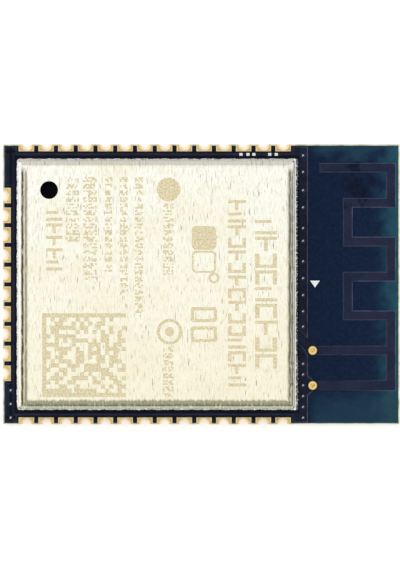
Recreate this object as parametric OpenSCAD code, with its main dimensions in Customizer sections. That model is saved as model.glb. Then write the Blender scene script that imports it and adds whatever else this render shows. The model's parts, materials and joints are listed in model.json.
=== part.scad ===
// Castellated radio module: a notched circuit board with plated half-hole pads on three
// sides, a folded shield can over the electronics and a printed meander antenna at one end.
// X runs along the board with the antenna at +X, Z is up, and z = 0 is the underside of
// the solder pads. All sizes are in millimetres.

/* [Board] */
// Length of the board along X
board_l = 25.5; // [23:0.1:30]
// Width of the board along Y
board_w = 18; // [16:0.1:22]
// Finished thickness over the pads
board_t = 0.8; // [0.6:0.05:1.6]
// Bare laminate left between the board edge and the solder mask
mask_inset = 0.08; // [0.05:0.01:0.15]

/* [Copper and mask] */
// Thickness of the copper foil under the mask
foil_t = 0.035; // [0.02:0.005:0.04]
// Thickness of the solder mask
mask_t = 0.025; // [0.015:0.001:0.028]
// Thickness of plated copper on the open pads and lands
pad_t = 0.065; // [0.063:0.001:0.09]
// Gap between bare copper and the edge of its mask window
window_gap = 0.05; // [0.03:0.01:0.06]
// Gap in the ground copper around pads and tracks
copper_gap = 0.2; // [0.1:0.01:0.24]
// Ground copper stops this far inside the board edge
pour_inset = 0.2; // [0.12:0.01:0.35]

/* [Castellated pads] */
// Pitch of the pads
pad_pitch = 1.27; // [1.15:0.01:1.3]
// Centre of the first side pad from the board end
side_start = 1.5; // [1.3:0.05:2]
// Least room between the last side pad and the end of the ground copper
side_spare = 0.7; // [0.6:0.05:1]
// Least distance from the board's long edges to the centre of an end pad
end_start = 3.1; // [3:0.05:3.3]
// Width of a pad on the top face
pad_w = 1.0; // [0.8:0.05:1.05]
// Reach of a side pad in from the board edge on the top face
side_pad_l = 0.45; // [0.4:0.01:0.5]
// Reach of an end pad in from the board edge on the top face
end_pad_l = 0.5; // [0.4:0.01:0.6]
// Width of a pad on the underside
under_pad_w = 0.9; // [0.75:0.05:1.05]
// Reach of a pad in from the board edge on the underside
under_pad_l = 0.9; // [0.6:0.05:1.2]
// Diameter of the half hole in the board edge, as plated
hole_d = 0.6; // [0.4:0.02:0.66]
// Thickness of the plating inside holes
plating = 0.04; // [0.03:0.005:0.05]

/* [Ground pad] */
// Side of the square ground pad on the underside
ground_pad_w = 5; // [3.4:0.1:6]

/* [Shield can] */
// Can's end wall from the board end
can_start = 1.1; // [1.05:0.01:1.5]
// Can's side walls from the board's long edges
can_side = 1.1; // [1:0.01:1.5]
// Can's far end wall from the end of the ground copper
can_tip = 0.84; // [0.8:0.01:1.2]
// Height of the shield can above the board's lands
can_h = 2.3; // [2.25:0.05:4]
// Thickness of the can's sheet
can_t = 0.2; // [0.15:0.01:0.24]
// Outer radius of the folds round the lid
fold_r = 0.6; // [0.35:0.05:1]
// Width of the slot between two walls at a corner
slot_w = 0.22; // [0.12:0.02:0.3]
// Diameter of the relief hole at the top of each corner slot
relief_d = 0.34; // [0.32:0.01:0.4]
// Centre of the relief hole in from the two walls
relief_in = 0.22; // [0.2:0.01:0.3]
// Diameter of the vent hole in the lid
vent_d = 1.05; // [0.6:0.05:1.4]
// Centre of the vent hole in from the can's end wall
vent_x = 2; // [1.6:0.01:3]
// Centre of the vent hole in from the can's side wall
vent_y = 1.92; // [1.6:0.01:3]
// Solder land outside the can's walls
land_out = 0.3; // [0.27:0.01:0.32]
// Solder land inside the can's walls
land_in = 0.15; // [0.1:0.01:0.2]
// Leg of the solder fillet round the can's foot
fillet_leg = 0.25; // [0.15:0.01:0.26]

/* [Antenna] */
// Length of board at the antenna end that is clear of ground copper
keepout = 5.96; // [5:0.02:7]
// Width of the antenna track
track_w = 0.5; // [0.3:0.05:0.6]
// Width of the antenna's grounding leg
short_w = 0.6; // [0.4:0.05:0.7]
// Antenna's outer edge from the end of the board
antenna_margin = 0.3; // [0.15:0.05:0.5]
// Inner turns from the end of the ground copper
turn_gap = 2.38; // [1.6:0.02:3]
// Antenna's open arm from the end of the ground copper
open_gap = 0.87; // [0.5:0.01:1.5]
// Antenna's open arm in from the long edge of the board
first_arm = 1.5; // [1.2:0.05:1.8]
// Antenna's grounding leg in from the other long edge
last_arm = 2.5; // [2.3:0.05:2.7]
// Wide bays of the meander against the narrow ones
bay_ratio = 1.11; // [1:0.01:1.3]
// Feed and grounding holes from the end of the ground copper
feed_gap = 0.37; // [0.35:0.01:0.5]
// Ring of bare metal round the feed and grounding holes
ring_d = 0.6; // [0.5:0.02:0.64]
// Feed and grounding holes as plated
feed_hole_d = 0.3; // [0.2:0.02:0.34]
// Dimple left at each end of a plated hole that is filled
fill_dip = 0.05; // [0.02:0.01:0.2]
// Width of the track between the feed hole and the radio's matching parts
feed_w = 0.35; // [0.25:0.01:0.4]

/* [Stitching holes] */
// Diameter of the masked holes that stitch the ground copper
stitch_d = 0.25; // [0.2:0.01:0.28]
// Centres of the stitching holes in from the ground copper's antenna edge
stitch_in = 0.24; // [0.22:0.01:0.26]
// Spacing of the stitching holes along the antenna side
stitch_pitch = 1.1; // [0.9:0.05:2]

/* [Radio chip] */
// Side of the square radio chip
soc_w = 6; // [5:0.1:6.4]
// Height of the radio chip
soc_h = 0.85; // [0.7:0.05:1]
// Pitch of the radio chip's leads
soc_pitch = 0.4; // [0.36:0.01:0.65]

/* [Flash chip] */
// Length of the flash chip's body along X
flash_l = 5.28; // [5:0.02:5.6]
// Width of the flash chip's body along Y
flash_w = 5.23; // [5:0.02:5.4]
// Height of the flash chip's body
flash_h = 1.75; // [1.5:0.01:1.8]
// Width over the flash chip's leads
flash_span = 7.9; // [7.6:0.05:8]

/* [Crystal and chips] */
// Length of the crystal
crystal_l = 3.2; // [2.8:0.1:3.3]
// Width of the crystal
crystal_w = 2.5; // [2:0.1:2.8]
// Length of a passive chip
chip_l = 1.0; // [0.9:0.01:1.05]
// Width of a passive chip
chip_w = 0.5; // [0.4:0.01:0.55]
// Length of a passive chip's metal end
chip_end = 0.25; // [0.15:0.01:0.3]
// Spacing of passive chips that stand side by side
chip_pitch = 1.5; // [1:0.05:2]
// Clear gap between the lands of neighbouring parts
part_gap = 0.3; // [0.2:0.01:0.4]

/* [Hidden] */
$fn = 48;
eps = 0.01;

// Levels: the laminate lies between the two copper faces
lam_bottom = pad_t;
lam_top = board_t - pad_t;
mask_top = lam_top + foil_t + mask_t;

// Cuts reach this far past what they cut
past = 1;

// Board ends; the pads and the can are placed from the plain end, the antenna from the other
end_x = -board_l / 2;
tip_x = board_l / 2;
pour_edge = tip_x - keepout;
pour_lap = 0.1;
notch_r = hole_d / 2 + plating;
side_pads = floor((board_l - keepout - side_start - pad_w / 2 - side_spare) / pad_pitch) + 1;
end_pads = floor((board_w - 2 * end_start) / pad_pitch) + 1;

// Shield can: it fills the board between the pads and the end of the ground copper
can_x0 = end_x + can_start;
can_x1 = pour_edge - can_tip;
can_cx = (can_x0 + can_x1) / 2;
can_l = can_x1 - can_x0;
can_w = board_w - 2 * can_side;
fillet_curve = 0.9;

// Clear room under the can, inside its solder land
room_x0 = can_x0 + can_t + land_in + part_gap;
room_x1 = can_x1 - can_t - land_in - part_gap;
room_y1 = can_w / 2 - can_t - land_in - part_gap;

// Antenna: narrow and wide bays fill the width between the open arm and the grounding leg
narrow_bay = (board_w - first_arm - last_arm) / (4 + 2 * bay_ratio);
wide_bay = bay_ratio * narrow_bay;
short_y = -board_w / 2 + last_arm;
feed_y = short_y + narrow_bay;
arm_y = [for (i = [4:-1:0]) feed_y + narrow_bay + ceil(i / 2) * wide_bay + floor(i / 2) * narrow_bay];
outer_x = tip_x - antenna_margin - track_w / 2;
turn_x = pour_edge + turn_gap + track_w / 2;
open_x = pour_edge + open_gap + track_w / 2;
feed_x = pour_edge + feed_gap;
ring_r = ring_d / 2;
bore_r = feed_hole_d / 2;

// The feed track leaves its hole at 45 degrees and passes under the can's wall
rf_in = 0.65;
rf_x = can_x1 - can_t - rf_in;
rf_y = feed_y + feed_x - rf_x;
crossing_y = feed_y + feed_x - (can_x1 + (land_out - can_t - land_in) / 2);
break_gap = 0.08;
land_break = feed_w * sqrt(2) + land_out + can_t + land_in + 2 * break_gap;

// Ground copper reaches out to the grounding hole over this width
flare_w = 1.2;

// Masked stitching holes: a row above the feed, a closer row below it, and two corners.
// The upper row's drift is in parts of its pitch
stitch_x = pour_edge - stitch_in;
stitch_edge = 0.42;
stitch_corner = 0.72;
stitch_top = 1.78;
stitch_end = 0.5;
low_pitch = stitch_pitch * 0.63;
end_pitch = stitch_pitch * 0.8;
end_stitches = 3;
drift = [0, 0.07, 0.07, 0.28, 0.03, 0.23, 0.21, 0.2, 0.15, 0.04];
feed_clear = ring_r + copper_gap + stitch_d;
above_feed = floor((board_w / 2 - stitch_top - feed_y - 2 * feed_clear) / stitch_pitch);
below_feed = floor((feed_y - feed_clear + board_w / 2 - stitch_edge) / low_pitch);
stitches = concat(
    [[stitch_x, board_w / 2 - stitch_corner]],
    [for (i = [0:above_feed])
        [stitch_x, board_w / 2 - stitch_top - stitch_pitch * (i + drift[i % len(drift)])]],
    [for (i = [0:below_feed]) [stitch_x, -board_w / 2 + stitch_edge + i * low_pitch]],
    [for (i = [0:end_stitches - 1]) [end_x + stitch_end, -board_w / 2 + stitch_edge + i * end_pitch]]
);
stitch_r = stitch_d / 2;
stitch_wall = 0.03;
stitch_bore_r = stitch_r - stitch_wall;

// Crystal, against the solder land of the can's +Y wall
crystal_gap = 0.75;
crystal_shift = 1;
crystal_y = room_y1 - crystal_w / 2;
crystal_base_h = 0.5;
crystal_cap_h = 0.25;
crystal_cap_inset = 0.15;
crystal_cap_r = 0.1;
crystal_notch_r = 0.2;
crystal_land = 0.9;

// Flash chip, in the corner of the can away from the antenna
flash_gap = 0.4;
flash_x = can_x0 + can_t + flash_gap + flash_l / 2;
flash_y = -can_w / 2 + can_t + flash_gap + flash_span / 2;
flash_leads_n = 4;
flash_pitch = 1.27;
flash_land_w = 0.6;
flash_lead_w = 0.41;
flash_lead_t = 0.2;
flash_leg = 0.15;
flash_foot = 0.65;
flash_toe = 0.15;
flash_lift = 0.1;
flash_draft = 0.12;

// Radio chip, between the flash chip and the crystal and centred over the ground pad
soc_gap = 0.52;
soc_x = flash_x + flash_l / 2 + soc_gap + soc_w / 2;
soc_y = crystal_y - crystal_w / 2 - crystal_gap - soc_w / 2;
crystal_x = soc_x - crystal_shift;
standoff = 0.02;
lead_w = 0.2;
lead_l = 0.4;
lead_t = 0.2;
lead_corner = 0.2;
soc_toe = 0.15;
soc_leads_n = floor((soc_w - 2 * (lead_l + lead_corner) - lead_w) / soc_pitch) + 1;
paddle_gap = 0.5;
paddle_w = soc_w - 2 * (lead_l + paddle_gap);
via_rows = 3;
via_pitch = paddle_w / via_rows;

// Dimple that marks the first lead of a chip
dimple_in = 0.8;
dimple_d = 0.6;
dimple_h = 0.05;

// Passive chips as [x, y, turn]: they fill the room round the radio chip and the crystal
chip_h = 0.5;
resistor_h = 0.35;
skin = 0.02;
toe = 0.2;
land_reach = chip_l / 2 + toe;
land_pitch = 2 * land_reach + part_gap;
ring_out = soc_w / 2 + soc_toe + part_gap;
beside_crystal = crystal_l / 2 + part_gap + chip_w / 2;

east_cols = floor((room_x1 - soc_x - ring_out + part_gap) / land_pitch);
east_rows = floor((room_y1 - rf_y - 1.5 * chip_w - part_gap) / chip_pitch) + 1;
east = [for (i = [0:east_cols - 1], j = [0:east_rows - 1])
    [soc_x + ring_out + land_reach + i * land_pitch, room_y1 - chip_w / 2 - j * chip_pitch, 0]];
south_n = floor(soc_w / chip_pitch);
south = [for (i = [0:south_n - 1])
    [soc_x + (i - (south_n - 1) / 2) * chip_pitch, soc_y - ring_out - land_reach, 90]];
west_n = floor((flash_x + flash_l / 2 - room_x0) / chip_pitch);
west = [for (i = [0:west_n - 1])
    [room_x0 + chip_w / 2 + i * chip_pitch,
        flash_y + flash_span / 2 + flash_toe + part_gap + land_reach, 90]];
north_n = floor((crystal_x - beside_crystal - chip_w / 2 - room_x0) / land_pitch);
north = [for (i = [0:north_n - 1]) [room_x0 + land_reach + i * land_pitch, room_y1 - chip_w / 2, 0]];

// Matching parts in line with the feed track, and one from each of them to ground
rf_lap = 0.05;
rf_n = max(1, floor((rf_x + rf_lap - soc_x - ring_out + part_gap) / land_pitch));
inductors = [for (i = [0:rf_n - 1]) [rf_x + rf_lap - land_reach - i * land_pitch, rf_y, 0]];
shunts = [for (c = inductors) [c[0], rf_y - chip_w / 2 - part_gap - land_reach, 90]];

capacitors = concat(
    [for (i = [0:min(east_rows, len(east)) - 1]) east[i]], south, shunts,
    [for (side = [-1, 1]) [crystal_x + side * beside_crystal, crystal_y, 90]]
);
resistors = concat([for (i = [0:len(east) - 1]) if (i >= east_rows) east[i]], west, north);

// ---------------------------------------------------------------- shared outlines

// Rectangle by its centre, grown by g on every side
module pane(x, y, l, w, g = 0)
    translate([x - l / 2 - g, y - w / 2 - g]) square([l + 2 * g, w + 2 * g]);

// Straight track between two points, with square ends that reach half its width further
module track(a, b, w, g = 0) {
    run = norm(b - a);
    translate(a) rotate(atan2(b[1] - a[1], b[0] - a[0]))
        translate([-w / 2 - g, -w / 2 - g]) square([run + w + 2 * g, w + 2 * g]);
}

// Places a child at every side pad of one long edge, its X axis pointing into the board
module along_side(side)
    for (i = [0:side_pads - 1])
        translate([end_x + side_start + i * pad_pitch, side * board_w / 2]) rotate(-side * 90) children();

// Places a child at every pad of the plain end, its X axis pointing into the board
module along_end()
    for (i = [0:end_pads - 1])
        translate([end_x, (i - (end_pads - 1) / 2) * pad_pitch]) children();

// Footprint of all pads on one face, grown by g
module pad_prints(l_side, l_end, w, g) {
    for (side = [-1, 1])
        along_side(side) translate([-past, -w / 2 - g]) square([past + l_side + g, w + 2 * g]);
    along_end() translate([-past, -w / 2 - g]) square([past + l_end + g, w + 2 * g]);
}

// Ground copper of one face, grown by g: it keeps clear of pads, feed and shield land
module ground_print(g, top) {
    difference() {
        union() {
            translate([end_x + pour_inset - g, -board_w / 2 + pour_inset - g])
                square([pour_edge - end_x - pour_inset + 2 * g, board_w - 2 * pour_inset + 2 * g]);
            polygon([
                [pour_edge - pour_lap, short_y + flare_w / 2 + g],
                [pour_edge, short_y + flare_w / 2 + g],
                [feed_x, short_y + ring_r + g],
                [feed_x, short_y - ring_r - g],
                [pour_edge, short_y - flare_w / 2 - g],
                [pour_edge - pour_lap, short_y - flare_w / 2 - g]
            ]);
        }
        pad_prints(
            top ? side_pad_l : under_pad_l, top ? end_pad_l : under_pad_l,
            top ? pad_w : under_pad_w, copper_gap - g);
        translate([feed_x, feed_y]) circle(r = ring_r + copper_gap - g);
        translate([feed_x, short_y]) circle(r = ring_r);
        if (top) {
            track([feed_x, feed_y], [rf_x, rf_y], feed_w, copper_gap - g);
            pane(can_cx, 0, can_l, can_w, land_out);
        } else {
            pane(soc_x, soc_y, ground_pad_w, ground_pad_w);
        }
    }
}

// Meander track, grown by g
module antenna_print(g = 0) {
    track([open_x, arm_y[0]], [outer_x, arm_y[0]], track_w, g);
    track([turn_x, arm_y[1]], [outer_x, arm_y[1]], track_w, g);
    track([turn_x, arm_y[2]], [outer_x, arm_y[2]], track_w, g);
    track([turn_x, arm_y[3]], [outer_x, arm_y[3]], track_w, g);
    track([turn_x, arm_y[4]], [outer_x, arm_y[4]], track_w, g);
    track([feed_x, feed_y], [outer_x, feed_y], track_w, g);
    track([feed_x, short_y], [outer_x - (short_w - track_w) / 2, short_y], short_w, g);
    track([outer_x, arm_y[0]], [outer_x, arm_y[1]], track_w, g);
    track([turn_x, arm_y[1]], [turn_x, arm_y[2]], track_w, g);
    track([outer_x, arm_y[2]], [outer_x, arm_y[3]], track_w, g);
    track([turn_x, arm_y[3]], [turn_x, arm_y[4]], track_w, g);
    track([outer_x, arm_y[4]], [outer_x, short_y], track_w, g);
}

// Land under the can's walls: a ring, broken where the feed track passes
module shield_land_print(g = 0)
    difference() {
        pane(can_cx, 0, can_l, can_w, land_out + g);
        pane(can_cx, 0, can_l, can_w, -can_t - land_in - g);
        pane(can_x1, crossing_y, 2 * past, land_break, -g);
    }

// Lands of the radio chip: rows round the edge and one in the middle
module soc_land_prints(g = 0) {
    pane(soc_x, soc_y, paddle_w, paddle_w, g);
    for (turn = [0:3], i = [0:soc_leads_n - 1])
        translate([soc_x, soc_y]) rotate(turn * 90)
            pane(soc_w / 2 - lead_l / 2 + soc_toe / 2, (i - (soc_leads_n - 1) / 2) * soc_pitch,
                lead_l + soc_toe, lead_w, g);
}

// One mask window for each row of the radio chip's lands
module soc_windows() {
    pane(soc_x, soc_y, paddle_w, paddle_w, window_gap);
    for (turn = [0:3])
        translate([soc_x, soc_y]) rotate(turn * 90)
            pane(soc_w / 2 - lead_l / 2 + soc_toe / 2, 0, lead_l + soc_toe,
                (soc_leads_n - 1) * soc_pitch + lead_w, window_gap);
}

module flash_land_prints(g = 0)
    for (side = [-1, 1], i = [0:flash_leads_n - 1])
        pane(flash_x + (i - (flash_leads_n - 1) / 2) * flash_pitch,
            flash_y + side * (flash_span - flash_foot) / 2, flash_land_w, flash_foot + 2 * flash_toe, g);

module crystal_land_prints(g = 0)
    for (sx = [-1, 1], sy = [-1, 1])
        pane(
            crystal_x + sx * (crystal_l - crystal_land) / 2, crystal_y + sy * (crystal_w - crystal_land) / 2,
            crystal_land, crystal_land, g);

module chip_land_prints(g = 0)
    for (c = concat(capacitors, resistors, inductors), end = [-1, 1])
        translate([c[0], c[1]]) rotate(c[2])
            pane(end * (chip_l / 2 - chip_end / 2 + toe / 2), 0, chip_end + toe, chip_w, g);

// Box with its four top edges folded over at radius r and mitred at the corners
module folded_box(l, w, h, r)
    intersection() {
        translate([-l / 2, 0, 0]) rotate([90, 0, 90]) linear_extrude(l) arch(w, h, r);
        translate([0, w / 2, 0]) rotate([90, 0, 0]) linear_extrude(w) arch(l, h, r);
    }

// Upright section: square feet and rounded shoulders
module arch(w, h, r)
    difference() {
        translate([-w / 2, 0]) square([w, h]);
        for (side = [-1, 1])
            translate([side * w / 2, h]) difference() {
                square(2 * r, center = true);
                translate([-side * r, -r]) circle(r = r);
            }
    }

// Moulded block that narrows by d towards its top and its foot
module moulded_block(l, w, h, d)
    intersection() {
        translate([-l / 2, 0, 0]) rotate([90, 0, 90]) linear_extrude(l) draft_section(w, h, d);
        translate([0, w / 2, 0]) rotate([90, 0, 0]) linear_extrude(w) draft_section(l, h, d);
    }

module draft_section(w, h, d)
    polygon([
        [-w / 2 + d, 0], [w / 2 - d, 0], [w / 2, h / 2],
        [w / 2 - d, h], [-w / 2 + d, h], [-w / 2, h / 2]
    ]);

// Filled plated hole: a ring on each face, a solid barrel and a dimple at each end
module plated_hole(x, y, ring, bore)
    translate([x, y, 0]) difference() {
        union() {
            cylinder(r = ring, h = pad_t);
            cylinder(r = bore + plating, h = board_t);
            translate([0, 0, lam_top]) cylinder(r = ring, h = pad_t);
        }
        translate([0, 0, -eps]) cylinder(r = bore, h = fill_dip + eps);
        translate([0, 0, board_t - fill_dip]) cylinder(r = bore, h = fill_dip + eps);
    }

// One castellation: top pad, half barrel down the notched edge, and underside pad
module castellation(top_l)
    difference() {
        union() {
            translate([0, -pad_w / 2, lam_top]) cube([top_l, pad_w, pad_t]);
            translate([0, -under_pad_w / 2, 0]) cube([under_pad_l, under_pad_w, pad_t]);
            intersection() {
                cylinder(r = notch_r, h = board_t);
                translate([0, -past, 0]) cube([past, 2 * past, board_t]);
            }
        }
        translate([0, 0, -eps]) cylinder(d = hole_d, h = board_t + 2 * eps);
    }

// ---------------------------------------------------------------- board

module board()
    color("#5f6b52") translate([0, 0, lam_bottom]) linear_extrude(lam_top - lam_bottom)
        difference() {
            pane(0, 0, board_l, board_w);
            for (side = [-1, 1]) along_side(side) circle(r = notch_r);
            along_end() circle(r = notch_r);
            for (y = [feed_y, short_y]) translate([feed_x, y]) circle(r = bore_r + plating);
            for (p = stitches) translate(p) circle(r = stitch_r);
            heat_hole_places() circle(r = stitch_r);
        }

module heat_hole_places()
    for (i = [0:via_rows - 1], j = [0:via_rows - 1])
        translate([
            soc_x + (i - (via_rows - 1) / 2) * via_pitch, soc_y + (j - (via_rows - 1) / 2) * via_pitch
        ]) children();

// Windows through the mask of the top face
module top_windows() {
    pad_prints(side_pad_l, end_pad_l, pad_w, window_gap);
    shield_land_print(window_gap);
    for (y = [feed_y, short_y]) translate([feed_x, y]) circle(r = ring_r + window_gap);
    soc_windows();
    flash_land_prints(window_gap);
    crystal_land_prints(window_gap);
    chip_land_prints(window_gap);
}

// Solder mask: one film that drapes over the copper, so every track stands up through it
module top_mask()
    color("#1c2440") difference() {
        translate([0, 0, lam_top]) union() {
            linear_extrude(mask_t) pane(0, 0, board_l, board_w, -mask_inset);
            linear_extrude(foil_t + mask_t) ground_print(mask_t, true);
            linear_extrude(foil_t + mask_t) antenna_print(mask_t);
            linear_extrude(foil_t + mask_t) track([feed_x, feed_y], [rf_x, rf_y], feed_w, mask_t);
        }
        translate([0, 0, lam_top - eps]) {
            linear_extrude(foil_t + eps) ground_print(0, true);
            linear_extrude(foil_t + eps) antenna_print();
            linear_extrude(foil_t + eps) track([feed_x, feed_y], [rf_x, rf_y], feed_w);
            linear_extrude(past) top_windows();
        }
    }

module bottom_mask()
    color("#1c2440") difference() {
        union() {
            translate([0, 0, lam_bottom - mask_t]) linear_extrude(mask_t)
                pane(0, 0, board_l, board_w, -mask_inset);
            translate([0, 0, lam_bottom - foil_t - mask_t]) linear_extrude(foil_t + mask_t)
                ground_print(mask_t, false);
        }
        translate([0, 0, lam_bottom - foil_t]) linear_extrude(foil_t + eps) ground_print(0, false);
        translate([0, 0, -eps]) linear_extrude(past) {
            pad_prints(under_pad_l, under_pad_l, under_pad_w, window_gap);
            pane(soc_x, soc_y, ground_pad_w, ground_pad_w, window_gap);
            for (y = [feed_y, short_y]) translate([feed_x, y]) circle(r = ring_r + window_gap);
        }
    }

module top_ground()
    color("#b87333") translate([0, 0, lam_top]) linear_extrude(foil_t) difference() {
        ground_print(0, true);
        for (p = stitches) translate(p) circle(r = stitch_r);
    }

module bottom_ground()
    color("#b87333") translate([0, 0, lam_bottom - foil_t]) linear_extrude(foil_t) difference() {
        ground_print(0, false);
        for (p = stitches) translate(p) circle(r = stitch_r);
    }

module antenna()
    color("#b87333") translate([0, 0, lam_top]) linear_extrude(foil_t) difference() {
        antenna_print();
        for (y = [feed_y, short_y]) translate([feed_x, y]) circle(r = ring_r);
        translate([feed_x - past, short_y - past]) square([past, feed_y - short_y + 2 * past]);
    }

module feed_track()
    color("#b87333") translate([0, 0, lam_top]) linear_extrude(foil_t) difference() {
        track([feed_x, feed_y], [rf_x, rf_y], feed_w);
        translate([feed_x, feed_y]) circle(r = ring_r);
        translate([feed_x, feed_y - past]) square([past, 2 * past]);
        chip_land_prints();
    }

module feed_hole() color("gold") plated_hole(feed_x, feed_y, ring_r, bore_r);
module grounding_hole() color("gold") plated_hole(feed_x, short_y, ring_r, bore_r);

module stitching_holes()
    color("#b87333") for (p = stitches)
        translate([p[0], p[1], lam_bottom - foil_t]) linear_extrude(lam_top - lam_bottom + 2 * foil_t)
            difference() {
                circle(r = stitch_r);
                circle(r = stitch_bore_r);
            }

module front_pads() color("gold") along_side(-1) castellation(side_pad_l);
module back_pads() color("gold") along_side(1) castellation(side_pad_l);
module end_pads_row() color("gold") along_end() castellation(end_pad_l);

module ground_pad()
    color("gold") linear_extrude(pad_t) pane(soc_x, soc_y, ground_pad_w, ground_pad_w);

module heat_holes()
    color("#b87333") heat_hole_places() translate([0, 0, lam_bottom]) linear_extrude(lam_top - lam_bottom)
        difference() {
            circle(r = stitch_r);
            circle(r = stitch_bore_r);
        }

// ---------------------------------------------------------------- shield

module shield_land()
    color("gold") translate([0, 0, lam_top]) linear_extrude(pad_t) shield_land_print();

// Concave solder fillet along one straight run of the can's foot
module fillet_run(run) rotate([90, 0, 90]) linear_extrude(run) fillet_section();

module fillet_section()
    difference() {
        square(fillet_leg);
        translate([fillet_leg, fillet_leg]) circle(r = fillet_curve * fillet_leg);
    }

// Fillets on the four walls, turned round the corners and broken at the feed track
module shield_solder()
    color("silver") translate([0, 0, board_t]) difference() {
        union() {
            for (side = [-1, 1]) {
                translate([can_cx - side * can_l / 2, side * can_w / 2, 0]) rotate(side > 0 ? 0 : 180)
                    fillet_run(can_l);
                translate([can_cx + side * can_l / 2, side * can_w / 2, 0]) rotate(-side * 90)
                    fillet_run(can_w);
            }
            for (turn = [0:3])
                translate([
                    can_cx + (turn == 0 || turn == 3 ? 1 : -1) * can_l / 2,
                    (turn < 2 ? 1 : -1) * can_w / 2, 0
                ]) rotate(turn * 90) rotate_extrude(angle = 90) fillet_section();
        }
        translate([can_x1 - past, crossing_y - land_break / 2, -eps]) cube([2 * past, land_break, past]);
    }

// Relief at a folded corner: a slot between the walls that ends in a round hole
module corner_relief() {
    translate([-relief_in, -relief_in, -eps]) cylinder(d = relief_d, h = can_h + 2 * eps);
    rotate(45) translate([-relief_in * sqrt(2), -slot_w / 2, -eps])
        cube([3 * relief_in, slot_w, can_h + 2 * eps]);
}

// Shield can: one folded sheet with mitred folds, corner reliefs and a vent hole
module shield_can()
    color("#dfe0dc") translate([can_cx, 0, board_t]) difference() {
        folded_box(can_l, can_w, can_h, fold_r);
        translate([0, 0, -eps])
            folded_box(can_l - 2 * can_t, can_w - 2 * can_t, can_h - can_t + eps, fold_r - can_t);
        for (turn = [0:3])
            translate([
                (turn == 0 || turn == 3 ? 1 : -1) * can_l / 2, (turn < 2 ? 1 : -1) * can_w / 2, 0
            ]) rotate(turn * 90) corner_relief();
        translate([vent_x - can_l / 2, can_w / 2 - vent_y, 0]) cylinder(d = vent_d, h = can_h + past);
    }

// ---------------------------------------------------------------- electronics

module soc_lands() color("gold") translate([0, 0, lam_top]) linear_extrude(pad_t) soc_land_prints();

module soc_lead_set(g = 0)
    for (turn = [0:3], i = [0:soc_leads_n - 1])
        translate([soc_x, soc_y, board_t]) rotate(turn * 90)
            translate([soc_w / 2 - lead_l, (i - (soc_leads_n - 1) / 2) * soc_pitch - lead_w / 2, -g])
                cube([lead_l + g, lead_w, lead_t + g]);

module soc_leads() color("silver") soc_lead_set();

module soc_paddle()
    color("silver") translate([0, 0, board_t]) linear_extrude(lead_t) pane(soc_x, soc_y, paddle_w, paddle_w);

module soc_body()
    color("#2b2b2d") difference() {
        translate([0, 0, board_t + standoff]) linear_extrude(soc_h - standoff)
            pane(soc_x, soc_y, soc_w, soc_w);
        soc_lead_set(eps);
        translate([0, 0, board_t - eps]) linear_extrude(lead_t + eps) pane(soc_x, soc_y, paddle_w, paddle_w);
        translate([soc_x - soc_w / 2 + dimple_in, soc_y + soc_w / 2 - dimple_in, board_t + soc_h - dimple_h])
            cylinder(d = dimple_d, h = past);
    }

module flash_lands() color("gold") translate([0, 0, lam_top]) linear_extrude(pad_t) flash_land_prints();

// Gull-wing lead: out of the body at half height, down and out along the board
module gull_wing() {
    reach = (flash_span - flash_w) / 2;
    mid = flash_lift + flash_h / 2;
    t = flash_lead_t;
    rotate([90, 0, 90]) translate([flash_w / 2, 0, -flash_lead_w / 2]) linear_extrude(flash_lead_w)
        polygon([
            [0, mid - t / 2], [reach - flash_foot - t, mid - t / 2], [reach - flash_foot, 0],
            [reach, 0], [reach, t], [reach - flash_foot + flash_leg, t],
            [reach - flash_foot - t + flash_leg, mid + t / 2], [0, mid + t / 2]
        ]);
}

module flash_leads()
    color("silver") for (side = [0, 180], i = [0:flash_leads_n - 1])
        translate([flash_x, flash_y, board_t]) rotate(side)
            translate([(i - (flash_leads_n - 1) / 2) * flash_pitch, 0, 0]) gull_wing();

module flash_body()
    color("#262628") difference() {
        translate([flash_x, flash_y, board_t + flash_lift])
            moulded_block(flash_l, flash_w, flash_h, flash_draft);
        translate([
            flash_x - flash_l / 2 + dimple_in, flash_y - flash_w / 2 + dimple_in,
            board_t + flash_lift + flash_h - dimple_h
        ]) cylinder(d = dimple_d, h = past);
    }

module crystal_lands() color("gold") translate([0, 0, lam_top]) linear_extrude(pad_t) crystal_land_prints();

// Ceramic base with a quarter-round castellation at each corner
module crystal_base()
    color("#c9b79a") translate([crystal_x, crystal_y, board_t]) difference() {
        translate([-crystal_l / 2, -crystal_w / 2, 0]) cube([crystal_l, crystal_w, crystal_base_h]);
        for (sx = [-1, 1], sy = [-1, 1])
            translate([sx * crystal_l / 2, sy * crystal_w / 2, -eps])
                cylinder(r = crystal_notch_r, h = past);
    }

module crystal_cap()
    color("#d8d9d6") translate([crystal_x, crystal_y, board_t + crystal_base_h])
        folded_box(
            crystal_l - 2 * crystal_cap_inset, crystal_w - 2 * crystal_cap_inset,
            crystal_cap_h, crystal_cap_r);

module chip_lands() color("gold") translate([0, 0, lam_top]) linear_extrude(pad_t) chip_land_prints();

// Runs over a list of [x, y, turn] and stands its children on the lands there
module at_chips(places)
    for (c = places) translate([c[0], c[1], board_t]) rotate(c[2]) children();

// Ceramic core of a passive chip
module chip_core(h)
    translate([-chip_l / 2 + skin, -chip_w / 2 + skin, skin])
        cube([chip_l - 2 * skin, chip_w - 2 * skin, h - 2 * skin]);

// Metal ends that wrap round the core on five faces
module chip_ends(h)
    difference() {
        for (end = [-1, 1])
            translate([end * (chip_l - chip_end) / 2 - chip_end / 2, -chip_w / 2, 0])
                cube([chip_end, chip_w, h]);
        chip_core(h);
    }

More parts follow.
